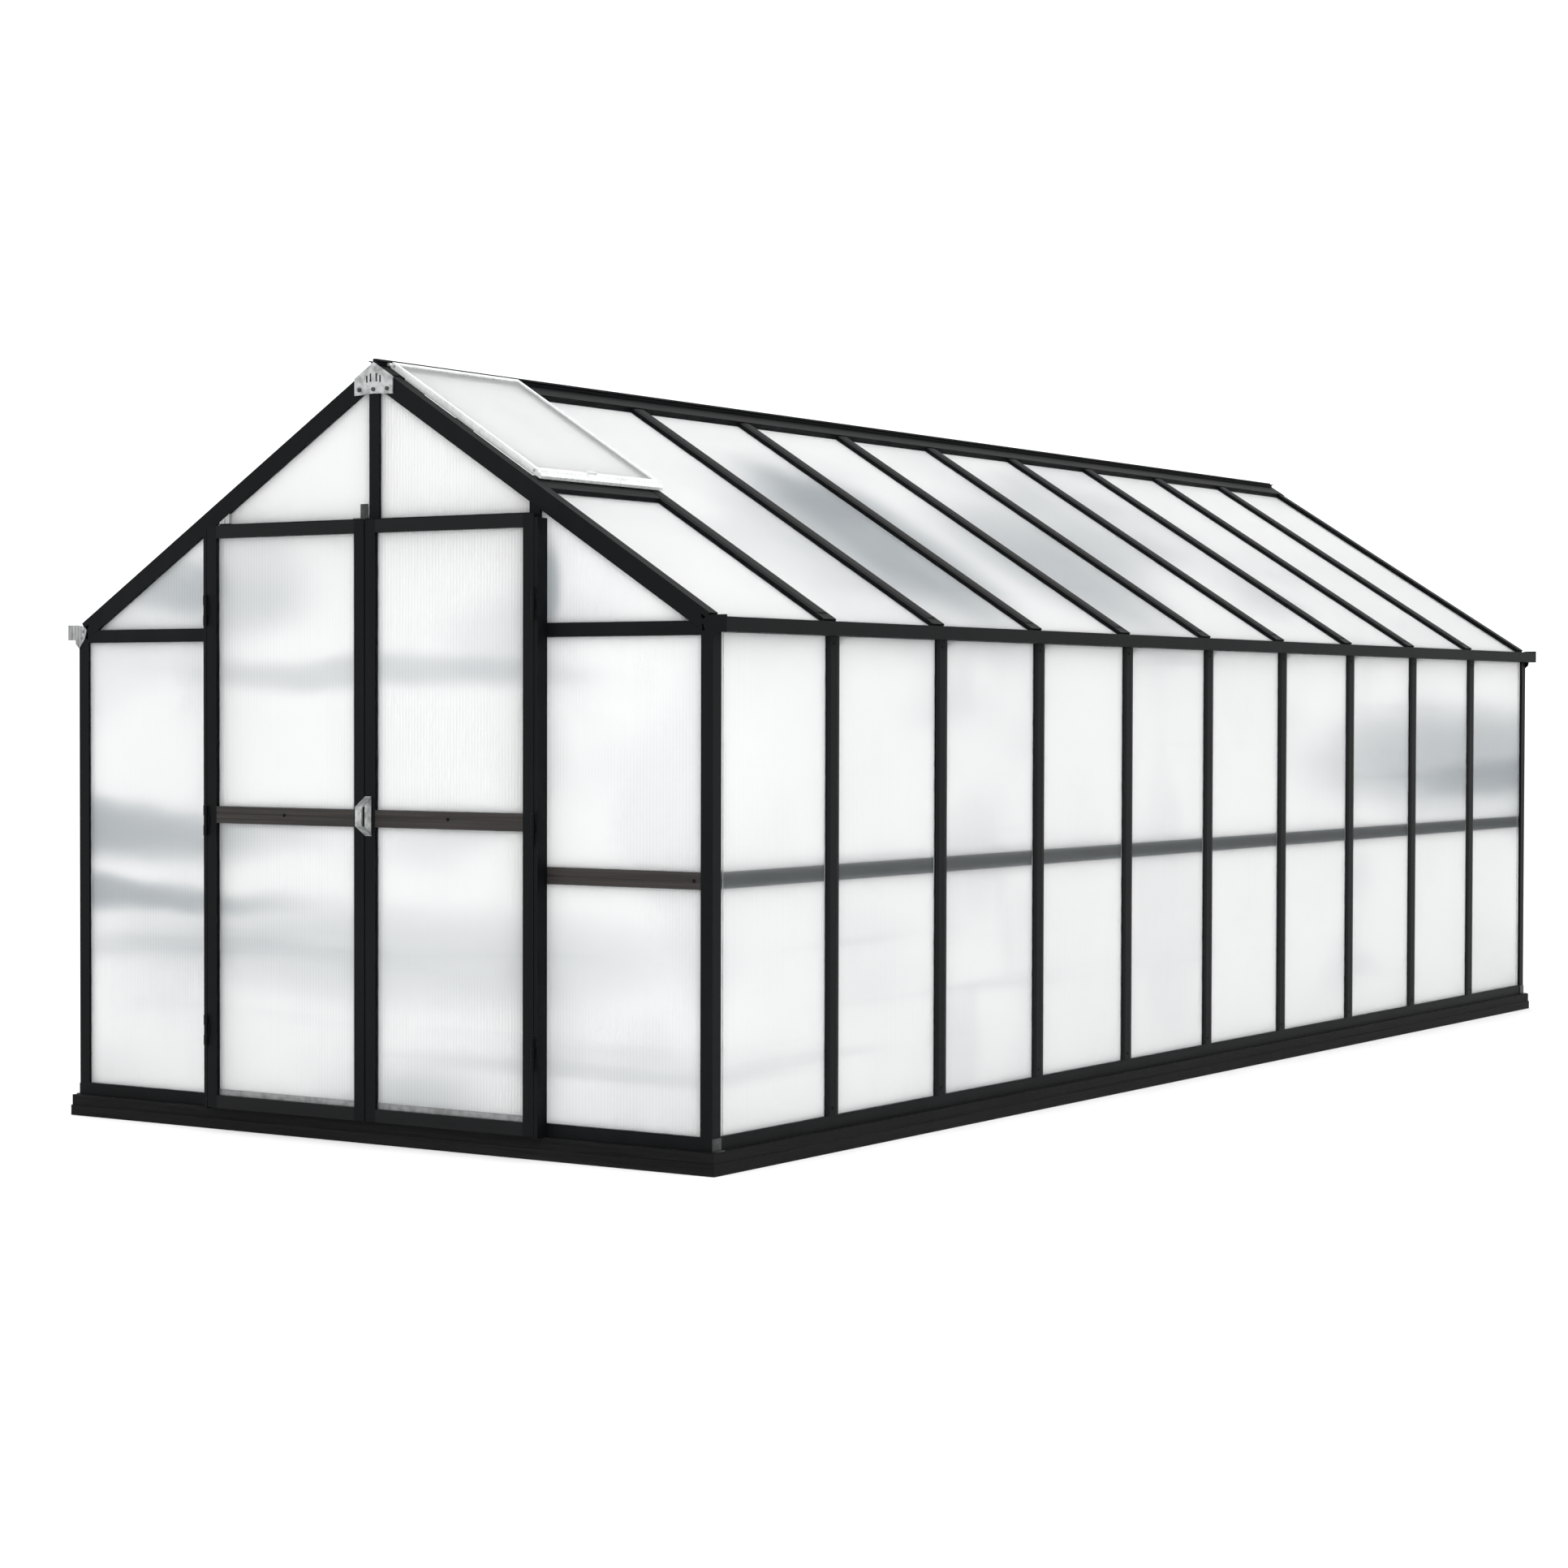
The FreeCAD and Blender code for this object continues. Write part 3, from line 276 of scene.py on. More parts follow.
def part_coated(name, colour, bare, side, foot):
    """Bare drawn metal on the left above a height, and the black coat everywhere else."""
    m = Maker(name)
    speck = m.noise((700.0, 700.0, 700.0), 1.0, 2.0, 0.5)
    mottle = m.noise((60.0, 60.0, 14.0), 1.0, 4.0, 0.6)
    lines = (m.x * (math.tau / 0.013)).cosine().ramp(-0.6, 0.9)
    metal = m.blend((mottle.ramp(0.4, 0.65) * 0.5 + lines * 0.4).clamped(), bare, tuple(c * 0.35 for c in bare))
    coat = m.blend(speck.ramp(0.5, 0.75), colour, tuple(c * 1.9 + 0.001 for c in colour))
    mask = (m.x < side) * (m.z > foot)
    tint = m.blend(mask, coat, metal)
    rough = 0.5 - mask * 0.1 + speck * 0.08
    normal = m.bump(speck, 0.2, 0.0005)
    return m.done(
        m.principled(Base_Color=tint, Metallic=mask * 0.9, Roughness=rough, Normal=normal, Specular_IOR_Level=0.07)
    )


def stained_board(name, colour):
    """Black-stained softwood: long grain, a few knots and a dull surface."""
    m = Maker(name)
    warp = m.noise((1.5, 1.5, 9.0), 1.0, 3.0, 0.5)
    fine = m.noise((6.0, 6.0, 420.0), 1.0, 5.0, 0.7)
    bands = m.noise((1.1, 1.1, 60.0), 1.0, 3.0, 0.6, (0.3, 0.7, 0.0))
    grain = (fine * 0.6 + bands * 0.4 + warp * 0.2).ramp(0.42, 0.82)
    tint = m.blend(grain, tuple(c * 0.4 for c in colour), tuple(c * 3.0 + 0.004 for c in colour))
    normal = m.bump(grain, 0.7, 0.0016)
    return m.done(m.principled(Base_Color=tint, Roughness=0.66 + grain * 0.2, Normal=normal, Specular_IOR_Level=0.10))


def milky_sheet(name, settings, flutes, girt_shade_edges=None):
    """Twin-wall sheet: light goes through it, it is faintly fluted, and painted shade and reflections cloud it: lines
    along the flutes, smudges, spots and a band where a girt sits behind it.
    """
    tint, shade = settings.tint, settings.shade
    m = Maker(name)
    across = m.x if flutes == "X" else m.y
    ripple = (across * (math.tau / settings.pitch)).cosine()
    cloud = m.noise((0.8, 0.6, 1.5), 1.0, 2.0, 0.5, (3.1, 1.7, 0.4))
    wisps = m.noise((0.45, 0.3, 8.0), 1.0, 3.0, 0.5, (0.0, 5.3, 0.0))
    patch = m.noise((1.9, 1.9, 1.5), 1.0, 2.0, 0.5, (7.0, 0.0, 2.0))
    # Painted shade and reflections: soft grey noise smudges, plus the painted shade spots of things behind the sheet
    painted_shade_and_reflection = cloud.ramp(0.56, 0.80) * 0.42 + wisps.ramp(0.60, 0.84) * 0.28
    for centre, size, strength in PAINTED_SHADE_SPOTS:
        painted_shade_and_reflection = painted_shade_and_reflection + m.spot(centre, size) * strength
    # Painted shade of the ribs: darker lines along the flutes, only where the patch noise lets them show
    lines = ripple.ramp(0.3, 1.0) * (patch.ramp(0.44, 0.62) * 0.22 + 0.05)
    colour = m.blend((painted_shade_and_reflection + lines).clamped(), tint, shade)
    # Painted shade: the sheet is darker between the girt's heights, standing in for the light the girt blocks behind
    # it
    if girt_shade_edges:
        foot, head = (m.z.ramp(edge - 2 * MM, edge + 2 * MM) for edge in girt_shade_edges)
        girt_shade = foot - head
        colour = m.blend(girt_shade * 0.9, colour, tuple(c * 0.80 for c in shade))
    rough = 0.26 + cloud * 0.12
    normal = m.bump(ripple, 0.30, 0.0008)
    skin = m.principled(Base_Color=colour, Roughness=rough, Normal=normal, IOR=1.55)
    glow = m.node("ShaderNodeBsdfTranslucent", {}, {"Color": colour}).outputs[0]
    mixed = m.node("ShaderNodeMixShader", {}, {0: settings.through, 1: skin, 2: glow})
    return m.done(mixed.outputs[0])


def seal(name, colour):
    """The pale glazing bead between a sheet and its bar; its pale grey is partly the bead's own colour and partly a
    painted highlight standing in for light caught along the bars' edges.
    """
    m = Maker(name)
    grime = m.noise((22.0, 22.0, 22.0), 1.0, 4.0, 0.6)
    tint = m.blend(grime.ramp(0.4, 0.7), colour, tuple(c * 0.45 for c in colour))
    return m.done(m.principled(Base_Color=tint, Roughness=0.5 + grime * 0.2, Specular_IOR_Level=0.3))


def floor_paint(name, colour):
    """Plain pale studio floor."""
    m = Maker(name)
    cloud = m.noise((0.8, 0.8, 0.8), 1.0, 2.0, 0.5)
    tint = m.blend(cloud * 0.05, colour, tuple(c * 0.97 for c in colour))
    return m.done(m.principled(Base_Color=tint, Roughness=0.85, Specular_IOR_Level=0.1))


# ---------------------------------------------------------------------------------------------------------------
# Meshes
# ---------------------------------------------------------------------------------------------------------------


def dress(node, material):
    """Gives a CAD node its finish."""
    mesh = NODES[node].data
    mesh.materials.clear()
    mesh.materials.append(material)


def loose_parts(mesh):
    """The separate solids of a mesh, each as its faces' corner positions."""
    bm = bmesh.new()
    bm.from_mesh(mesh)
    bmesh.ops.remove_doubles(bm, verts=bm.verts, dist=1e-5)
    seen, parts = set(), []
    for face in bm.faces:
        if face.index in seen:
            continue
        stack, group = [face], []
        seen.add(face.index)
        while stack:
            current = stack.pop()
            group.append([corner.co.copy() for corner in current.verts])
            for edge in current.edges:
                for other in edge.link_faces:
                    if other.index not in seen:
                        seen.add(other.index)
                        stack.append(other)
        parts.append(group)
    bm.free()
    return parts


def mesh_of(name, faces):
    """A mesh from faces given as corner positions, with shared corners merged."""
    points, index, polygons = [], {}, []
    for face in faces:
        corners = []
        for point in face:
            key = tuple(round(value, 6) for value in point)
            if key not in index:
                index[key] = len(points)
                points.append(point)
            corners.append(index[key])
        polygons.append(corners)
    mesh = bpy.data.meshes.new(name)
    mesh.from_pydata(points, [], polygons)
    return mesh


def new_object(name, mesh, material=None):
    """Puts a mesh in the scene, with its material."""
    made = bpy.data.objects.new(name, mesh)
    bpy.context.collection.objects.link(made)
    if material and not mesh.materials:
        mesh.materials.append(material)
    return made


def baked(source, tree, inputs, name):
    """Runs a Geometry Nodes tree on an object and returns the result as a plain mesh. The source object goes."""
    modifier = source.modifiers.new("tree", "NODES")
    modifier.node_group = tree
    for item in tree.interface.items_tree:
        if item.item_type == "SOCKET" and item.in_out == "INPUT" and item.name in inputs:
            modifier[item.identifier] = inputs[item.name]
    graph = bpy.context.evaluated_depsgraph_get()
    graph.update()
    mesh = bpy.data.meshes.new_from_object(source.evaluated_get(graph), depsgraph=graph)
    mesh.name = name
    source.modifiers.remove(modifier)
    bpy.data.objects.remove(source)
    return mesh


def merged(name, meshes):
    """One mesh from several, keeping their first material."""
    faces, points = [], []
    for mesh in meshes:
        base = len(points)
        points += [vertex.co.copy() for vertex in mesh.vertices]
        faces += [[base + corner for corner in polygon.vertices] for polygon in mesh.polygons]
    whole = bpy.data.meshes.new(name)
    whole.from_pydata(points, [], faces)
    for material in meshes[0].materials:
        whole.materials.append(material)
    return whole


class Tree:
    """Builds one Geometry Nodes tree with named inputs."""

    def __init__(self, name, inputs):
        self.tree = bpy.data.node_groups.new(name, "GeometryNodeTree")
        face = self.tree.interface
        face.new_socket("Geometry", in_out="INPUT", socket_type="NodeSocketGeometry")
        for key, kind in inputs.items():
            face.new_socket(key, in_out="INPUT", socket_type=f"NodeSocket{kind}")
        face.new_socket("Geometry", in_out="OUTPUT", socket_type="NodeSocketGeometry")
        self.given = self.tree.nodes.new("NodeGroupInput").outputs

    def node(self, kind, settings=None, inputs=None):
        """A node of one type, with its settings and its sockets' values or links."""
        made = self.tree.nodes.new(kind)
        for key, value in (settings or {}).items():
            setattr(made, key, value)
        for key, value in (inputs or {}).items():
            if isinstance(value, bpy.types.NodeSocket):
                self.tree.links.new(value, made.inputs[key])
            else:
                made.inputs[key].default_value = value
        return made.outputs

    def sum(self, first, second):
        """Two vectors added."""
        return self.node("ShaderNodeVectorMath", {"operation": "ADD"}, {0: first, 1: second})[0]

    def number(self, operation, first, second):
        """Arithmetic on two numbers."""
        return self.node("ShaderNodeMath", {"operation": operation}, {0: first, 1: second})[0]

    def joined(self, *parts):
        """Several geometries as one."""
        join = self.tree.nodes.new("GeometryNodeJoinGeometry")
        for part in parts:
            self.tree.links.new(part, join.inputs[0])
        return join.outputs[0]

    def scaled(self, vector, factor):
        """A vector times a number."""
        return self.node("ShaderNodeVectorMath", {"operation": "SCALE"}, {0: vector, "Scale": factor})[0]

    def done(self, geometry, material=None):
        """Ends the tree: instances made real, then the material."""
        real = self.node("GeometryNodeRealizeInstances", {}, {"Geometry": geometry})[0]
        if material is not None:
            real = self.node("GeometryNodeSetMaterial", {}, {"Geometry": real, "Material": material})[0]
        out = self.tree.nodes.new("NodeGroupOutput")
        self.tree.links.new(real, out.inputs[0])
        return self.tree


def rib_tree():
    """The walls inside a twin-wall sheet: a thin strip at every pitch, from the sheet's lower edge to its upper."""
    kinds = {"Start": "Vector", "Step": "Vector", "Along": "Vector", "Across": "Vector", "Count": "Int"}
    kinds.update({"Thickness": "Float", "Depth": "Float", "Reach": "Float", "Edge": "Float", "Material": "Material"})
    t = Tree("sheet_ribs", kinds)
    g = t.given
    sheet = g["Geometry"]
    places = {"Count": g["Count"], "Start Location": g["Start"], "Offset": g["Step"]}
    line = t.node("GeometryNodeMeshLine", {"mode": "OFFSET"}, places)[0]
    here = t.node("GeometryNodeInputPosition")[0]
    reach = t.scaled(g["Along"], g["Reach"])
    hits = []
    for sign in (-1.0, 1.0):
        ray = {
            "Target Geometry": sheet,
            "Source Position": t.sum(here, t.scaled(reach, sign)),
            "Ray Direction": t.scaled(g["Along"], -sign),
            "Ray Length": 10.0,
        }
        hits.append(t.node("GeometryNodeRaycast", {}, ray))
    low, high = (hit["Hit Position"] for hit in hits)
    span = t.node("ShaderNodeVectorMath", {"operation": "DISTANCE"}, {0: low, 1: high})["Value"]
    length = t.number("SUBTRACT", span, g["Edge"])
    middle = t.scaled(t.sum(low, high), 0.5)
    missed = t.node("FunctionNodeBooleanMath", {"operation": "NOT"}, {0: hits[0]["Is Hit"]})[0]
    measured = t.node(
        "GeometryNodeStoreNamedAttribute",
        {"data_type": "FLOAT", "domain": "POINT"},
        {"Geometry": line, "Name": "length", "Value": length},
    )[0]
    kept = t.node("GeometryNodeDeleteGeometry", {"domain": "POINT"}, {"Geometry": measured, "Selection": missed})[0]
    placed = t.node("GeometryNodeSetPosition", {}, {"Geometry": kept, "Position": middle})[0]
    turn = t.node(
        "FunctionNodeAxesToRotation",
        {"primary_axis": "Z", "secondary_axis": "X"},
        {"Primary Axis": g["Along"], "Secondary Axis": g["Across"]},
    )[0]
    size = t.node("ShaderNodeCombineXYZ", {}, {"X": g["Thickness"], "Y": g["Depth"], "Z": 1.0})[0]
    strip = t.node("GeometryNodeMeshCube", {}, {"Size": size})[0]
    tall = t.node("GeometryNodeInputNamedAttribute", {"data_type": "FLOAT"}, {"Name": "length"})["Attribute"]
    scale = t.node("ShaderNodeCombineXYZ", {}, {"X": 1.0, "Y": 1.0, "Z": tall})[0]
    copies = {"Points": placed, "Instance": strip, "Rotation": turn, "Scale": scale}
    strips = t.node("GeometryNodeInstanceOnPoints", {}, copies)[0]
    return t.done(t.joined(strips, sheet), g["Material"])


def bead_tree():
    """A square bead along a mesh's edges."""
    t = Tree("glazing_bead", {"Width": "Float", "Material": "Material"})
    g = t.given
    line = t.node("GeometryNodeMeshToCurve", {}, {"Mesh": g["Geometry"]})[0]
    profile = t.node("GeometryNodeCurvePrimitiveQuadrilateral", {}, {"Width": g["Width"], "Height": g["Width"]})[0]
    bead = t.node("GeometryNodeCurveToMesh", {}, {"Curve": line, "Profile Curve": profile, "Fill Caps": True})[0]
    return t.done(bead, g["Material"])


def screw_tree():
    """Pan-head screws at a mesh's points: a low dome and a washer under it."""
    t = Tree("screw_heads", {"Radius": "Float", "Height": "Float", "Out": "Vector", "Material": "Material"})
    g = t.given
    wide = t.number("MULTIPLY", g["Radius"], 1.35)
    thin = t.number("MULTIPLY", g["Height"], 0.35)
    narrow = t.number("MULTIPLY", g["Radius"], 0.62)
    washer = t.node("GeometryNodeMeshCylinder", {}, {"Vertices": 20, "Radius": wide, "Depth": thin})["Mesh"]
    sides = {"Vertices": 20, "Radius Top": narrow, "Radius Bottom": g["Radius"], "Depth": g["Height"]}
    dome = t.node("GeometryNodeMeshCone", {}, sides)["Mesh"]
    turn = t.node("FunctionNodeAlignRotationToVector", {"axis": "Z"}, {"Vector": g["Out"]})[0]
    copies = {"Points": g["Geometry"], "Instance": t.joined(washer, dome), "Rotation": turn}
    return t.done(t.node("GeometryNodeInstanceOnPoints", {}, copies)[0], g["Material"])


# ---------------------------------------------------------------------------------------------------------------
# Settings
# ---------------------------------------------------------------------------------------------------------------


class SheetSettings(bpy.types.PropertyGroup):
    """Sizes and colours of the twin-wall sheets."""

    pitch: FloatProperty(
        name="Flute pitch", description="From one rib to the next",
        default=11 * MM, unit="LENGTH",
    )
    rib: FloatProperty(name="Rib", description="Thickness of a rib", default=0.7 * MM, unit="LENGTH")
    tint: FloatVectorProperty(
        name="Tint", description="Clean sheet",
        default=(0.99, 0.99, 0.99), subtype="COLOR",
    )
    # The colour of the painted shade in the sheets: smudges, spots, flute lines and, darker, the girt band
    shade: FloatVectorProperty(
        name="Painted shade", description="Sheet under painted shade",
        default=(0.745, 0.765, 0.775), subtype="COLOR",
    )
    # The seal's pale grey is partly the bead's own colour and partly a painted highlight along the bars' edges
    seal: FloatVectorProperty(
        name="Seal", description="Glazing bead",
        default=(0.42, 0.44, 0.45), subtype="COLOR",
    )
    bead: FloatProperty(name="Bead", description="Width of the glazing bead", default=1.6 * MM, unit="LENGTH")
    bite: FloatProperty(
        name="Bite", description="How far a sheet sits in its groove",
        default=8 * MM, unit="LENGTH",
    )
    through: FloatProperty(name="Light through", description="Share of the light that passes", default=0.955)


class FinishSettings(bpy.types.PropertyGroup):
    """Colours of the coats, the bare metal and the boards."""

    coat: FloatVectorProperty(
        name="Frame coat", description="Black coat",
        default=(0.0024, 0.0028, 0.0032), subtype="COLOR",
    )
    brown: FloatVectorProperty(
        name="Rail coat", description="Brown coat",
        default=(0.0265, 0.0235, 0.0220), subtype="COLOR",
    )
    metal: FloatVectorProperty(
        name="Bare metal", description="As extruded",
        default=(0.74, 0.76, 0.76), subtype="COLOR",
    )
    board: FloatVectorProperty(
        name="Boards", description="Stained timber",
        default=(0.0024, 0.0024, 0.0026), subtype="COLOR",
    )
    flange: FloatProperty(
        name="Flange", description="Depth of a vent's flange",
        default=3.4 * MM, unit="LENGTH",
    )
    clear: FloatProperty(name="Ridge gap", description="Flange to hinge rail", default=50 * MM, unit="LENGTH")
    rail_limit: FloatProperty(name="Rail limit", description="Widest side rail", default=30 * MM, unit="LENGTH")
    screw_radius: FloatProperty(
        name="Screw head", description="Radius of a screw's head",
        default=4 * MM, unit="LENGTH",
    )


class StageSettings(bpy.types.PropertyGroup):
    """The studio."""

    floor: FloatVectorProperty(
        name="Floor", description="Floor colour",
        default=(0.95, 0.95, 0.95), subtype="COLOR",
    )
    floor_size: FloatProperty(name="Floor size", description="Side of the floor", default=400.0, unit="LENGTH")
    sky: FloatProperty(name="Sky", description="Brightness of the surroundings", default=1.3)
    key: FloatProperty(name="Key", description="Power of the key light, in watts", default=1500.0)


# ---------------------------------------------------------------------------------------------------------------
# Operators
# ---------------------------------------------------------------------------------------------------------------


class GREENHOUSE_OT_sheets(bpy.types.Operator):
    """Replaces every sheet with a ribbed twin-wall one"""

    bl_idname = "greenhouse.sheets"
    bl_label = "Twin-wall sheets"

    def execute(self, context):
        settings = context.scene.greenhouse_sheets
        slope = self.slope()
        tree = rib_tree()
        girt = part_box("girts_right")
        # The girt's lowest and highest points bound the band of painted shade on the side sheets
        wall = milky_sheet("twin_wall_side", settings, "Y", (girt[0][2], girt[1][2]))
        roof = milky_sheet("twin_wall_roof", settings, "Y")
        gable = milky_sheet("twin_wall_gable", settings, "X")
        for node in WALL_SHEETS:
            self.ribbed(node, tree, wall, Vector((0, 1, 0)), Vector((0, 0, 1)), settings)
        for node in ROOF_SHEETS:
            side = 1 if "right" in node else -1
            along = Vector((-side * math.cos(slope), 0, math.sin(slope)))
            self.ribbed(node, tree, roof, Vector((0, 1, 0)), along, settings)
        for node in GABLE_SHEETS:
            self.ribbed(node, tree, gable, Vector((1, 0, 0)), Vector((0, 0, 1)), settings)
        return {"FINISHED"}

    @staticmethod
    def slope():
        """The roof's pitch, from a roof sheet's own corners."""
        low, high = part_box("roof_panels_right")
        run, rise = high[0] - low[0], high[2] - low[2]
        pitch = math.atan2(rise, run)
        for _ in range(20):
            pitch = math.atan2(rise - SHEET_THICK * math.cos(pitch), run - SHEET_THICK * math.sin(pitch))
        return pitch

    @staticmethod
    def ribbed(node, tree, material, across, along, settings):
        """One node's sheets, each with its ribs."""
        out = across.cross(along)
        meshes = []
        for number, faces in enumerate(loose_parts(NODES[node].data)):
            points = [corner for face in faces for corner in face]
            spans = [[point.dot(axis) for point in points] for axis in (across, along, out)]
            low, high = min(spans[0]), max(spans[0])
            count = int((high - low) / settings.pitch)
            start = low + (high - low - (count - 1) * settings.pitch) / 2
            thick = max(spans[2]) - min(spans[2])
            centre = along * (sum((min(spans[1]), max(spans[1]))) / 2) + out * (min(spans[2]) + thick / 2)
            sheet = new_object(f"{node}_{number}", mesh_of(f"{node}_{number}", faces))
            sheet.data.materials.append(material)
            inputs = {
                "Start": across * start + centre,
                "Step": across * settings.pitch,
                "Along": along,
                "Across": across,
                "Count": count,
                "Thickness": settings.rib,
                "Depth": thick - 1.2 * MM,
                "Reach": 4.0,
                "Edge": 1.0 * MM,
                "Material": material,
            }
            meshes.append(baked(sheet, tree, inputs, f"{node}_{number}_ribbed"))
        piece = new_object(f"sheet_{node}", merged(f"sheet_{node}", meshes))
        for mesh in meshes:
            bpy.data.meshes.remove(mesh)
        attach(piece, BODY_OF[node])
        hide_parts(node)


class GREENHOUSE_OT_beads(bpy.types.Operator):
    """Runs a thin pale glazing bead round the visible part of every sheet, partly a painted highlight along the bars'
    edges
    """

    bl_idname = "greenhouse.beads"
    bl_label = "Glazing beads"

    def execute(self, context):
        settings = context.scene.greenhouse_sheets
        tree = bead_tree()
        look = seal("glazing_seal_and_highlight", tuple(settings.seal))
        slope = GREENHOUSE_OT_sheets.slope()
        under_cap = self.under_cap()
        for node in (*WALL_SHEETS, "roof_panels_left", "roof_panels_right", *GABLE_SHEETS):
            across = Vector((0, 1, 0))
            out = Vector((1, 0, 0))
            if node in GABLE_SHEETS:
                across, out = Vector((1, 0, 0)), Vector((0, 1 if "rear" in node else -1, 0))
            elif "roof" in node:
                out = Vector((math.sin(slope), 0, math.cos(slope)))
            if "left" in node and node not in GABLE_SHEETS:
                out.x = -out.x
            hidden = settings.bite if node in GABLE_SHEETS else under_cap
            loops = [self.outline(faces, across, out, hidden, settings) for faces in loose_parts(NODES[node].data)]
            self.run(node, loops, tree, look, across.cross(out), out, settings)
        return {"FINISHED"}

    @staticmethod
    def under_cap():
        """How far a side sheet's edge lies under its bar's cap."""
        spans = []
        for faces in loose_parts(NODES["wall_panels_right"].data):
            along = [round(point.y, 4) for face in faces for point in face]
            spans.append((min(along), max(along)))
        spans.sort()
        first, second = spans[1:3]
        bay, gap = second[0] - first[0], second[0] - first[1]
        low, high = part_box("wall_bars_right")
        cap = high[1] - low[1] - (len(spans) - 2) * bay
        return (cap - gap) / 2

    @staticmethod
    def outline(faces, across, out, hidden, settings):
        """The corners of a sheet's outer face, moved in to where the sheet comes out of its bars."""
        top = max(point.dot(out) for face in faces for point in face)
        flat = [face for face in faces if all(point.dot(out) > top - 0.0005 for point in face)]
        uses = {}
        for face in flat:
            keys = [tuple(round(value, 5) for value in point) for point in face]
            for first, second in zip(keys, keys[1:] + keys[:1]):
                uses.setdefault(frozenset((first, second)), []).append((first, second))
        edges = dict(pairs[0] for pairs in uses.values() if len(pairs) == 1)
        start = next(iter(edges))
        ring, here = [start], edges[start]
        while here != start:
            ring.append(here)
            here = edges[here]
        corners = [Vector(point) for point in ring]
        count, moved = len(corners), []
        lines = []
        for index, point in enumerate(corners):
            run = (corners[(index + 1) % count] - point).normalized()
            inward = out.cross(run)
            share = hidden if abs(inward.dot(across)) > 0.99 else settings.bite
            lines.append((point + inward * (share + settings.bead / 2), run))
        for index in range(count):
            (before, run), (after, turn) = lines[index - 1], lines[index]
            normal = out.cross(turn)
            step = (after - before).dot(normal) / run.dot(normal) if abs(run.dot(normal)) > 1e-4 else 0.0
            moved.append(before + run * step)
        return moved

    @staticmethod
    def run(node, loops, tree, look, across, out, settings):
        """One node's beads, from the corners of each."""
        points, edges = [], []
        for loop in loops:
            base, count = len(points), len(loop)
            points += [point + out * settings.bead * 0.4 for point in loop]
            edges += [(base + index, base + (index + 1) % count) for index in range(count)]
        mesh = bpy.data.meshes.new(f"bead_path_{node}")
        mesh.from_pydata(points, edges, [])
        path = new_object(f"bead_path_{node}", mesh)
        piece = baked(path, tree, {"Width": settings.bead, "Material": look}, f"bead_{node}")
        piece = new_object(f"bead_{node}", piece)
        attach(piece, BODY_OF[node])


class GREENHOUSE_OT_flanges(bpy.types.Operator):
    """Runs a flange down from each vent's side rails, almost to the bars under them"""

    bl_idname = "greenhouse.flanges"
    bl_label = "Vent flanges"

    def execute(self, context):
        settings = context.scene.greenhouse_finish
        slope = GREENHOUSE_OT_sheets.slope()
        bright = bare_metal("flange_aluminium", tuple(settings.metal), (160.0, 1.5, 200.0), 0.40, 0.9)
        for node, side in (("left_vent_frame", -1), ("right_vent_frame", 1)):
            along = Vector((side * math.cos(slope), 0, -math.sin(slope)))
            out = Vector((side * math.sin(slope), 0, math.cos(slope)))
            across = Vector((0, 1, 0))
            faces = []
            for part in loose_parts(NODES[node].data):
                points = [corner for face in part for corner in face]
                spans = [[point.dot(axis) for point in points] for axis in (along, across, out)]
                if max(spans[1]) - min(spans[1]) < settings.rail_limit:
                    low = [min(span) for span in spans]
                    high = [max(span) for span in spans]
                    high[2] = low[2]
                    low[2] -= settings.flange
                    low[0] += settings.clear
                    faces += self.block((along, across, out), low, high)
            piece = new_object(f"flange_{node}", mesh_of(f"flange_{node}", faces), bright)
            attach(piece, BODY_OF[node])
        return {"FINISHED"}

    @staticmethod
    def block(axes, low, high):
        """The six faces of a box along three axes, facing outwards."""
        along, across, out = axes
        sign = 1 if along.cross(across).dot(out) > 0 else -1
        corner = {}
        for key in range(8):
            pick = [high[axis] if key >> axis & 1 else low[axis] for axis in range(3)]
            corner[key] = along * pick[0] + across * pick[1] + out * pick[2]
        sides = ((0, 2, 3, 1), (4, 5, 7, 6), (0, 1, 5, 4), (2, 6, 7, 3), (0, 4, 6, 2), (1, 3, 7, 5))
        return [[corner[key] for key in side[::sign]] for side in sides]


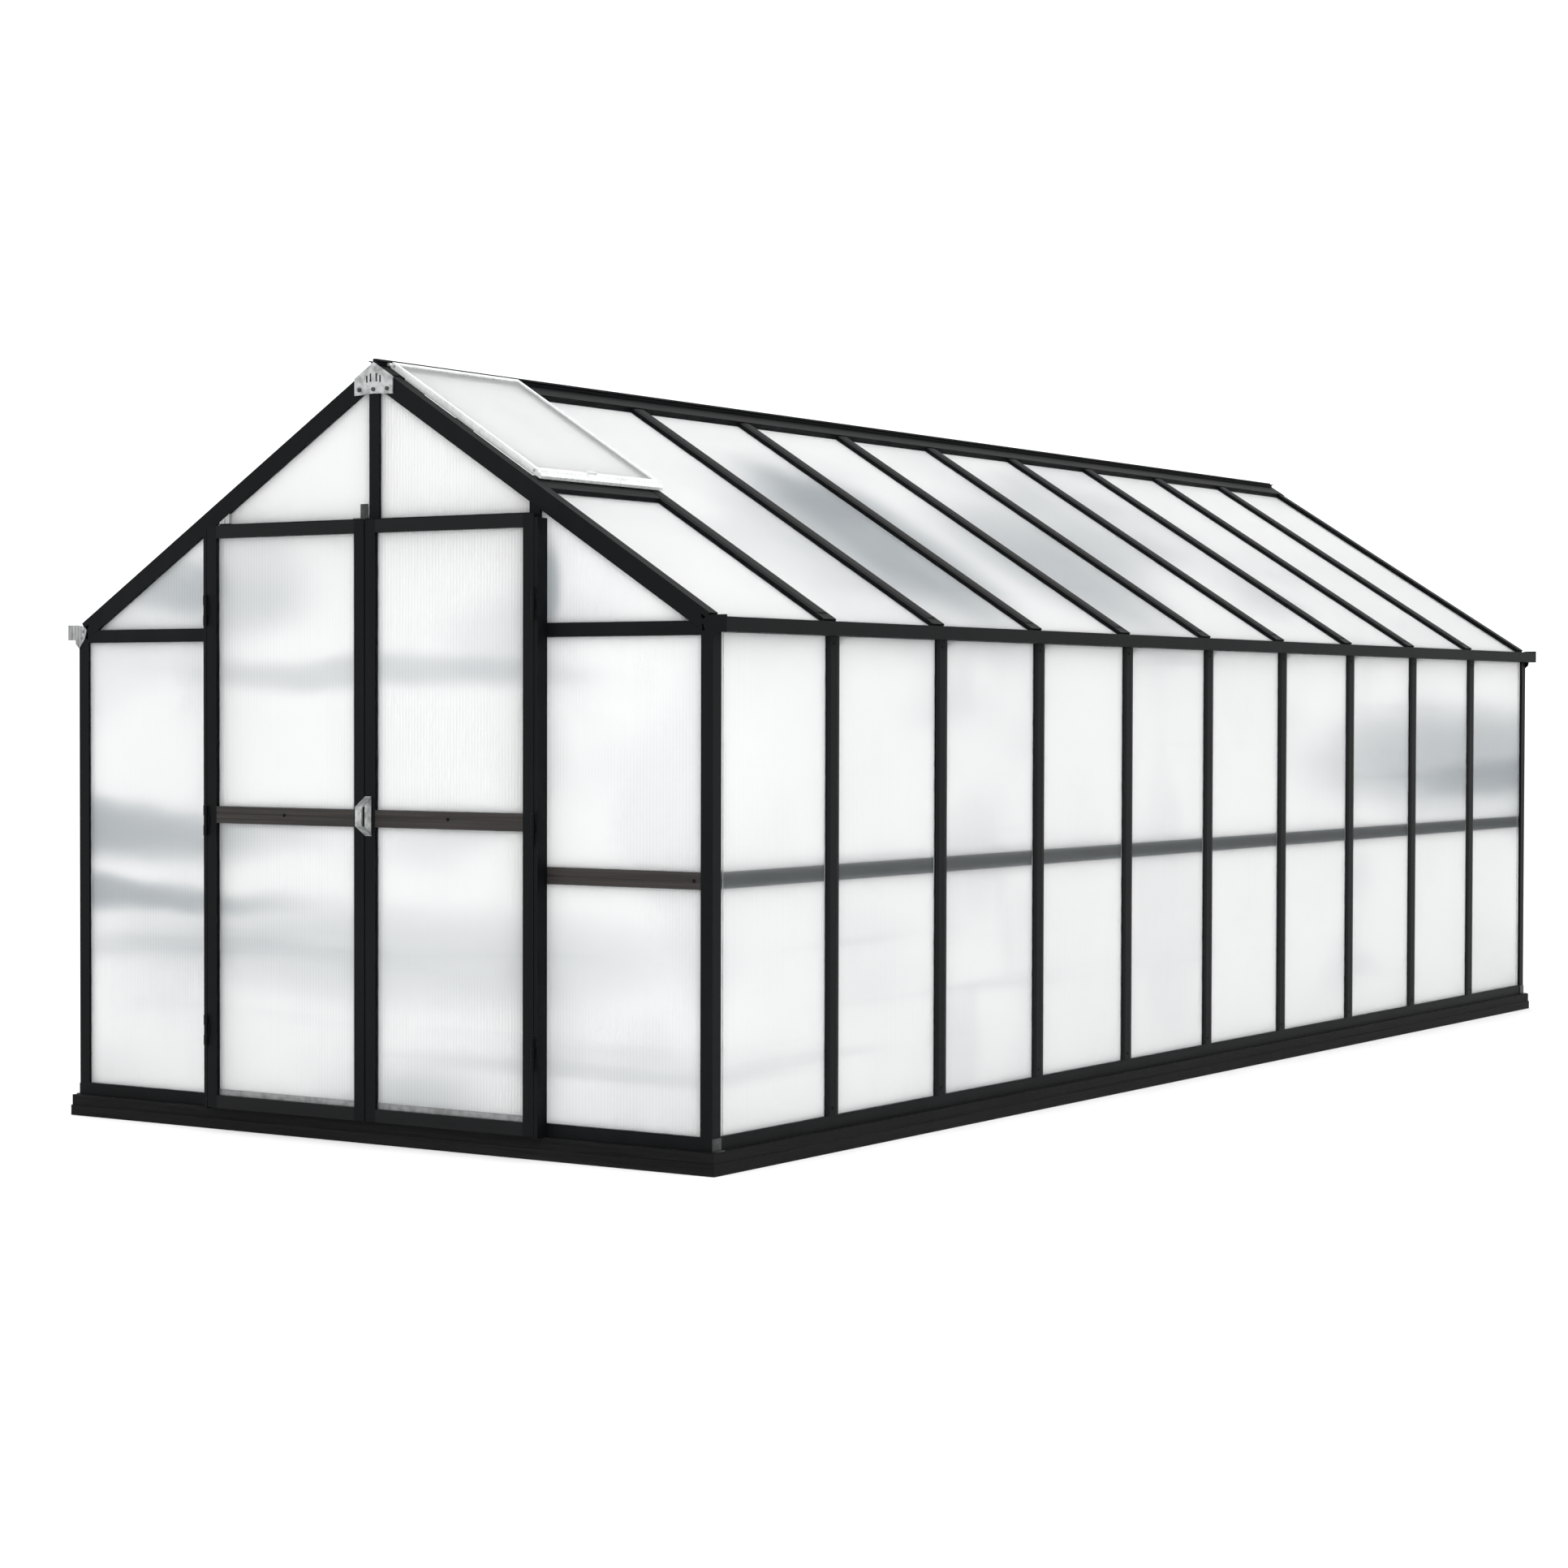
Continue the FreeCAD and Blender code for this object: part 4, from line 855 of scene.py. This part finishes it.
class GREENHOUSE_OT_screws(bpy.types.Operator):
    """Sets the screws of the rails, the bars and the brackets"""

    bl_idname = "greenhouse.screws"
    bl_label = "Screws"

    def execute(self, context):
        settings = context.scene.greenhouse_finish
        tree = screw_tree()
        look = coated("screw_coat", tuple(channel * 0.8 for channel in settings.coat))
        pale = bare_metal("screw_zinc", tuple(channel * 0.3 for channel in settings.metal), (90.0, 90.0, 90.0))
        front, inset = Vector((0, -1, 0)), 0.022
        for leaf in ("left_door_rails", "right_door_rails"):
            low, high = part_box(leaf)
            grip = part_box("pull_handle")
            middle = (grip[0][2] + grip[1][2]) / 2 - 0.004
            centre = [((low[0] + high[0]) / 2, low[1], middle)]
            self.drive(f"screws_{leaf}", leaf, centre, front, tree, look, settings)
        low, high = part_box("girt_front")
        middle = (low[2] + high[2]) / 2
        ends = [(low[0] + inset, low[1], middle), (high[0] - inset, low[1], middle)]
        self.drive("screws_girt_front", "girt_front", ends, front, tree, look, settings)
        for side, out in (("left", Vector((-1, 0, 0))), ("right", Vector((1, 0, 0)))):
            low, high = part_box(f"wall_bars_{side}")
            bars = loose_parts(NODES[f"wall_bars_{side}"].data)
            face = high[0] if side == "right" else low[0]
            places = []
            for faces in bars:
                spread = [point.y for corners in faces for point in corners]
                middle = (min(spread) + max(spread)) / 2
                places += [(face, middle, low[2] + inset), (face, middle, high[2] - inset)]
            self.drive(f"screws_wall_{side}", f"wall_bars_{side}", places, out, tree, look, settings)
        low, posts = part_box("eave_brackets")[0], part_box("corner_posts")[1]
        steps = ((0.014, 0.006), (0.020, 0.026))
        places = [(step - posts[0], low[1], posts[2] + rise) for step, rise in steps]
        self.drive("screws_eave_brackets", "eave_brackets", places, front, tree, pale, settings)
        return {"FINISHED"}

    @staticmethod
    def drive(name, node, places, out, tree, look, settings):
        """One group of screws on a node's body."""
        mesh = bpy.data.meshes.new(f"{name}_places")
        mesh.from_pydata(places, [], [])
        source = new_object(f"{name}_places", mesh)
        inputs = {"Radius": settings.screw_radius, "Height": 0.0022, "Out": out, "Material": look}
        piece = new_object(name, baked(source, tree, inputs, name))
        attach(piece, BODY_OF[node])


class GREENHOUSE_OT_coats(bpy.types.Operator):
    """Coats the frame, the doors' members and the rails"""

    bl_idname = "greenhouse.coats"
    bl_label = "Coats"

    def execute(self, context):
        settings = context.scene.greenhouse_finish
        black = coated("black_coat", tuple(settings.coat))
        brown = rail_coat("brown_coat", tuple(settings.brown))
        low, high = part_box("pull_handle")
        middle = (low[2] + high[2]) / 2
        rails = rail_coat("leaf_rail_coat", tuple(settings.brown), tuple(settings.coat), middle - 0.2, middle + 0.2)
        for node, slot in SLOT_OF.items():
            if slot == "black_frame":
                dress(node, brown if node in BROWN_NODES else rails if node in LEAF_RAILS else black)
        return {"FINISHED"}


class GREENHOUSE_OT_metal(bpy.types.Operator):
    """Finishes the bare aluminium and the steel"""

    bl_idname = "greenhouse.metal"
    bl_label = "Bare metal"

    def execute(self, context):
        settings = context.scene.greenhouse_finish
        metal = tuple(settings.metal)
        drawn = bare_metal("drawn_aluminium", metal, (160.0, 1.5, 200.0), 0.30, 0.9)
        stamped = bare_metal("stamped_aluminium", self.darker(metal, 0.62), (90.0, 90.0, 90.0), 0.42, 0.55)
        dull = bare_metal("dull_aluminium", self.darker(metal, 0.36), (12.0, 60.0, 200.0), 0.42, 0.7)
        dark = bare_metal("dark_zinc", self.darker(metal, 0.09), (90.0, 90.0, 90.0), 0.4, 0.6)
        looks = dict.fromkeys(("ridge_plates", "pull_handle"), stamped)
        looks.update(dict.fromkeys(("left_door_trim", "right_door_trim", "post_gussets"), dull))
        looks.update(dict.fromkeys(("bolt_keeper", "bolt_guide", "ridge_bolts"), dark))
        looks["anchor_brackets"] = dark
        coat = tuple(settings.coat)
        # Painted shade: the left vent's frame gets the black coat to stand in for the shadow it lies in; the right
        # vent's frame stays bare metal
        looks["left_vent_frame"] = coated("vent_coat", coat)
        looks["right_vent_frame"] = bare_metal("vent_aluminium", self.brighter(metal), (3.0, 160.0, 3.0), 0.46, 0.86)
        looks["eave_brackets"] = part_coated("bracket_finish", coat, self.darker(metal, 0.5), 0.0, 0.0)
        for node, slot in SLOT_OF.items():
            if slot in ("mill_aluminium", "plated_steel"):
                dress(node, looks.get(node, drawn))
        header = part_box("door_header")
        dress("door_jambs", part_coated("jamb_finish", coat, self.darker(metal, 0.7), 0.0, header[1][2] + 0.002))
        return {"FINISHED"}

    @staticmethod
    def brighter(colour):
        """A colour halfway to white."""
        return tuple((channel + 1.0) / 2 for channel in colour)

    @staticmethod
    def darker(colour, share):
        """A colour at a share of its brightness."""
        return tuple(channel * share for channel in colour)


class GREENHOUSE_OT_boards(bpy.types.Operator):
    """Stains the base boards"""

    bl_idname = "greenhouse.boards"
    bl_label = "Base boards"

    def execute(self, context):
        look = stained_board("stained_board", tuple(context.scene.greenhouse_finish.board))
        for node in BOARDS:
            dress(node, look)
        return {"FINISHED"}


class GREENHOUSE_OT_stage(bpy.types.Operator):
    """Sets up the floor, the lights and the camera"""

    bl_idname = "greenhouse.stage"
    bl_label = "Stage"

    def execute(self, context):
        settings = context.scene.greenhouse_stage
        half = settings.floor_size / 2
        corners = [(-half, -half, 0), (half, -half, 0), (half, half, 0), (-half, half, 0)]
        floor = new_object("floor", mesh_of("floor", [corners]), floor_paint("floor_paint", tuple(settings.floor)))
        world = bpy.data.worlds.new("studio")
        context.scene.world = world
        world.use_nodes = True
        background = world.node_tree.nodes["Background"]
        background.inputs["Color"].default_value = (1.0, 1.0, 1.0, 1.0)
        background.inputs["Strength"].default_value = settings.sky
        context.scene.view_settings.view_transform = "Standard"
        self.lamp("key", (9.0, -16.0, 12.0), 12.0, settings.key)
        self.camera(context)
        return {"FINISHED"}

    @staticmethod
    def lamp(name, place, size, power):
        """A soft square lamp aimed at the house."""
        data = bpy.data.lights.new(name, "AREA")
        data.size, data.energy = size, power
        lamp = bpy.data.objects.new(name, data)
        bpy.context.collection.objects.link(lamp)
        aim = Vector((0.0, 0.0, 1.0)) - Vector(place)
        lamp.matrix_world = Matrix.Translation(place) @ aim.to_track_quat("-Z", "Y").to_matrix().to_4x4()

    @staticmethod
    def camera(context):
        """The camera: a person's distance and eye height beyond the front right corner."""
        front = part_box("gable_sills")[0][1]
        place = Vector((6.2156, front - 7.282, 1.2623))
        yaw, pitch, roll = (math.radians(angle) for angle in (33.338, -1.280, 0.1365))
        forward = Vector((-math.sin(yaw) * math.cos(pitch), math.cos(yaw) * math.cos(pitch), math.sin(pitch)))
        right = forward.cross(Vector((0, 0, 1))).normalized()
        up = right.cross(forward)
        across = right * math.cos(roll) + up * math.sin(roll)
        over = up * math.cos(roll) - right * math.sin(roll)
        data = bpy.data.cameras.new("camera")
        data.sensor_width, data.lens = 36.0, 75.04
        data.clip_end = 500.0
        camera = bpy.data.objects.new("camera", data)
        context.collection.objects.link(camera)
        turn = Matrix((across, over, -forward)).transposed().to_4x4()
        camera.matrix_world = Matrix.Translation(place) @ turn
        context.scene.camera = camera


OPERATORS = (
    GREENHOUSE_OT_sheets,
    GREENHOUSE_OT_beads,
    GREENHOUSE_OT_flanges,
    GREENHOUSE_OT_screws,
    GREENHOUSE_OT_coats,
    GREENHOUSE_OT_metal,
    GREENHOUSE_OT_boards,
    GREENHOUSE_OT_stage,
)


class GREENHOUSE_PT_panel(bpy.types.Panel):
    """Lists the pieces"""

    bl_label = "Greenhouse"
    bl_idname = "GREENHOUSE_PT_panel"
    bl_space_type = "VIEW_3D"
    bl_region_type = "UI"
    bl_category = "Greenhouse"

    def draw(self, context):
        scene = context.scene
        for group in (scene.greenhouse_sheets, scene.greenhouse_finish, scene.greenhouse_stage):
            for key in group.__annotations__:
                self.layout.prop(group, key)
        for operator in OPERATORS:
            self.layout.operator(operator.bl_idname)


GROUPS = {
    "greenhouse_sheets": SheetSettings,
    "greenhouse_finish": FinishSettings,
    "greenhouse_stage": StageSettings,
}
CLASSES = (*GROUPS.values(), *OPERATORS, GREENHOUSE_PT_panel)


def register():
    """Registers the classes and puts the settings on the scene."""
    for item in CLASSES:
        bpy.utils.register_class(item)
    for name, group in GROUPS.items():
        setattr(bpy.types.Scene, name, PointerProperty(type=group))


def unregister():
    """Takes the settings and the classes away again."""
    for name in GROUPS:
        delattr(bpy.types.Scene, name)
    for item in reversed(CLASSES):
        bpy.utils.unregister_class(item)


def main():
    """Builds the looks in order."""
    register()
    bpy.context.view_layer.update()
    bpy.ops.greenhouse.sheets()
    bpy.ops.greenhouse.beads()
    bpy.ops.greenhouse.flanges()
    bpy.ops.greenhouse.screws()
    bpy.ops.greenhouse.coats()
    bpy.ops.greenhouse.metal()
    bpy.ops.greenhouse.boards()
    bpy.ops.greenhouse.stage()


if __name__ == "__main__":
    main()
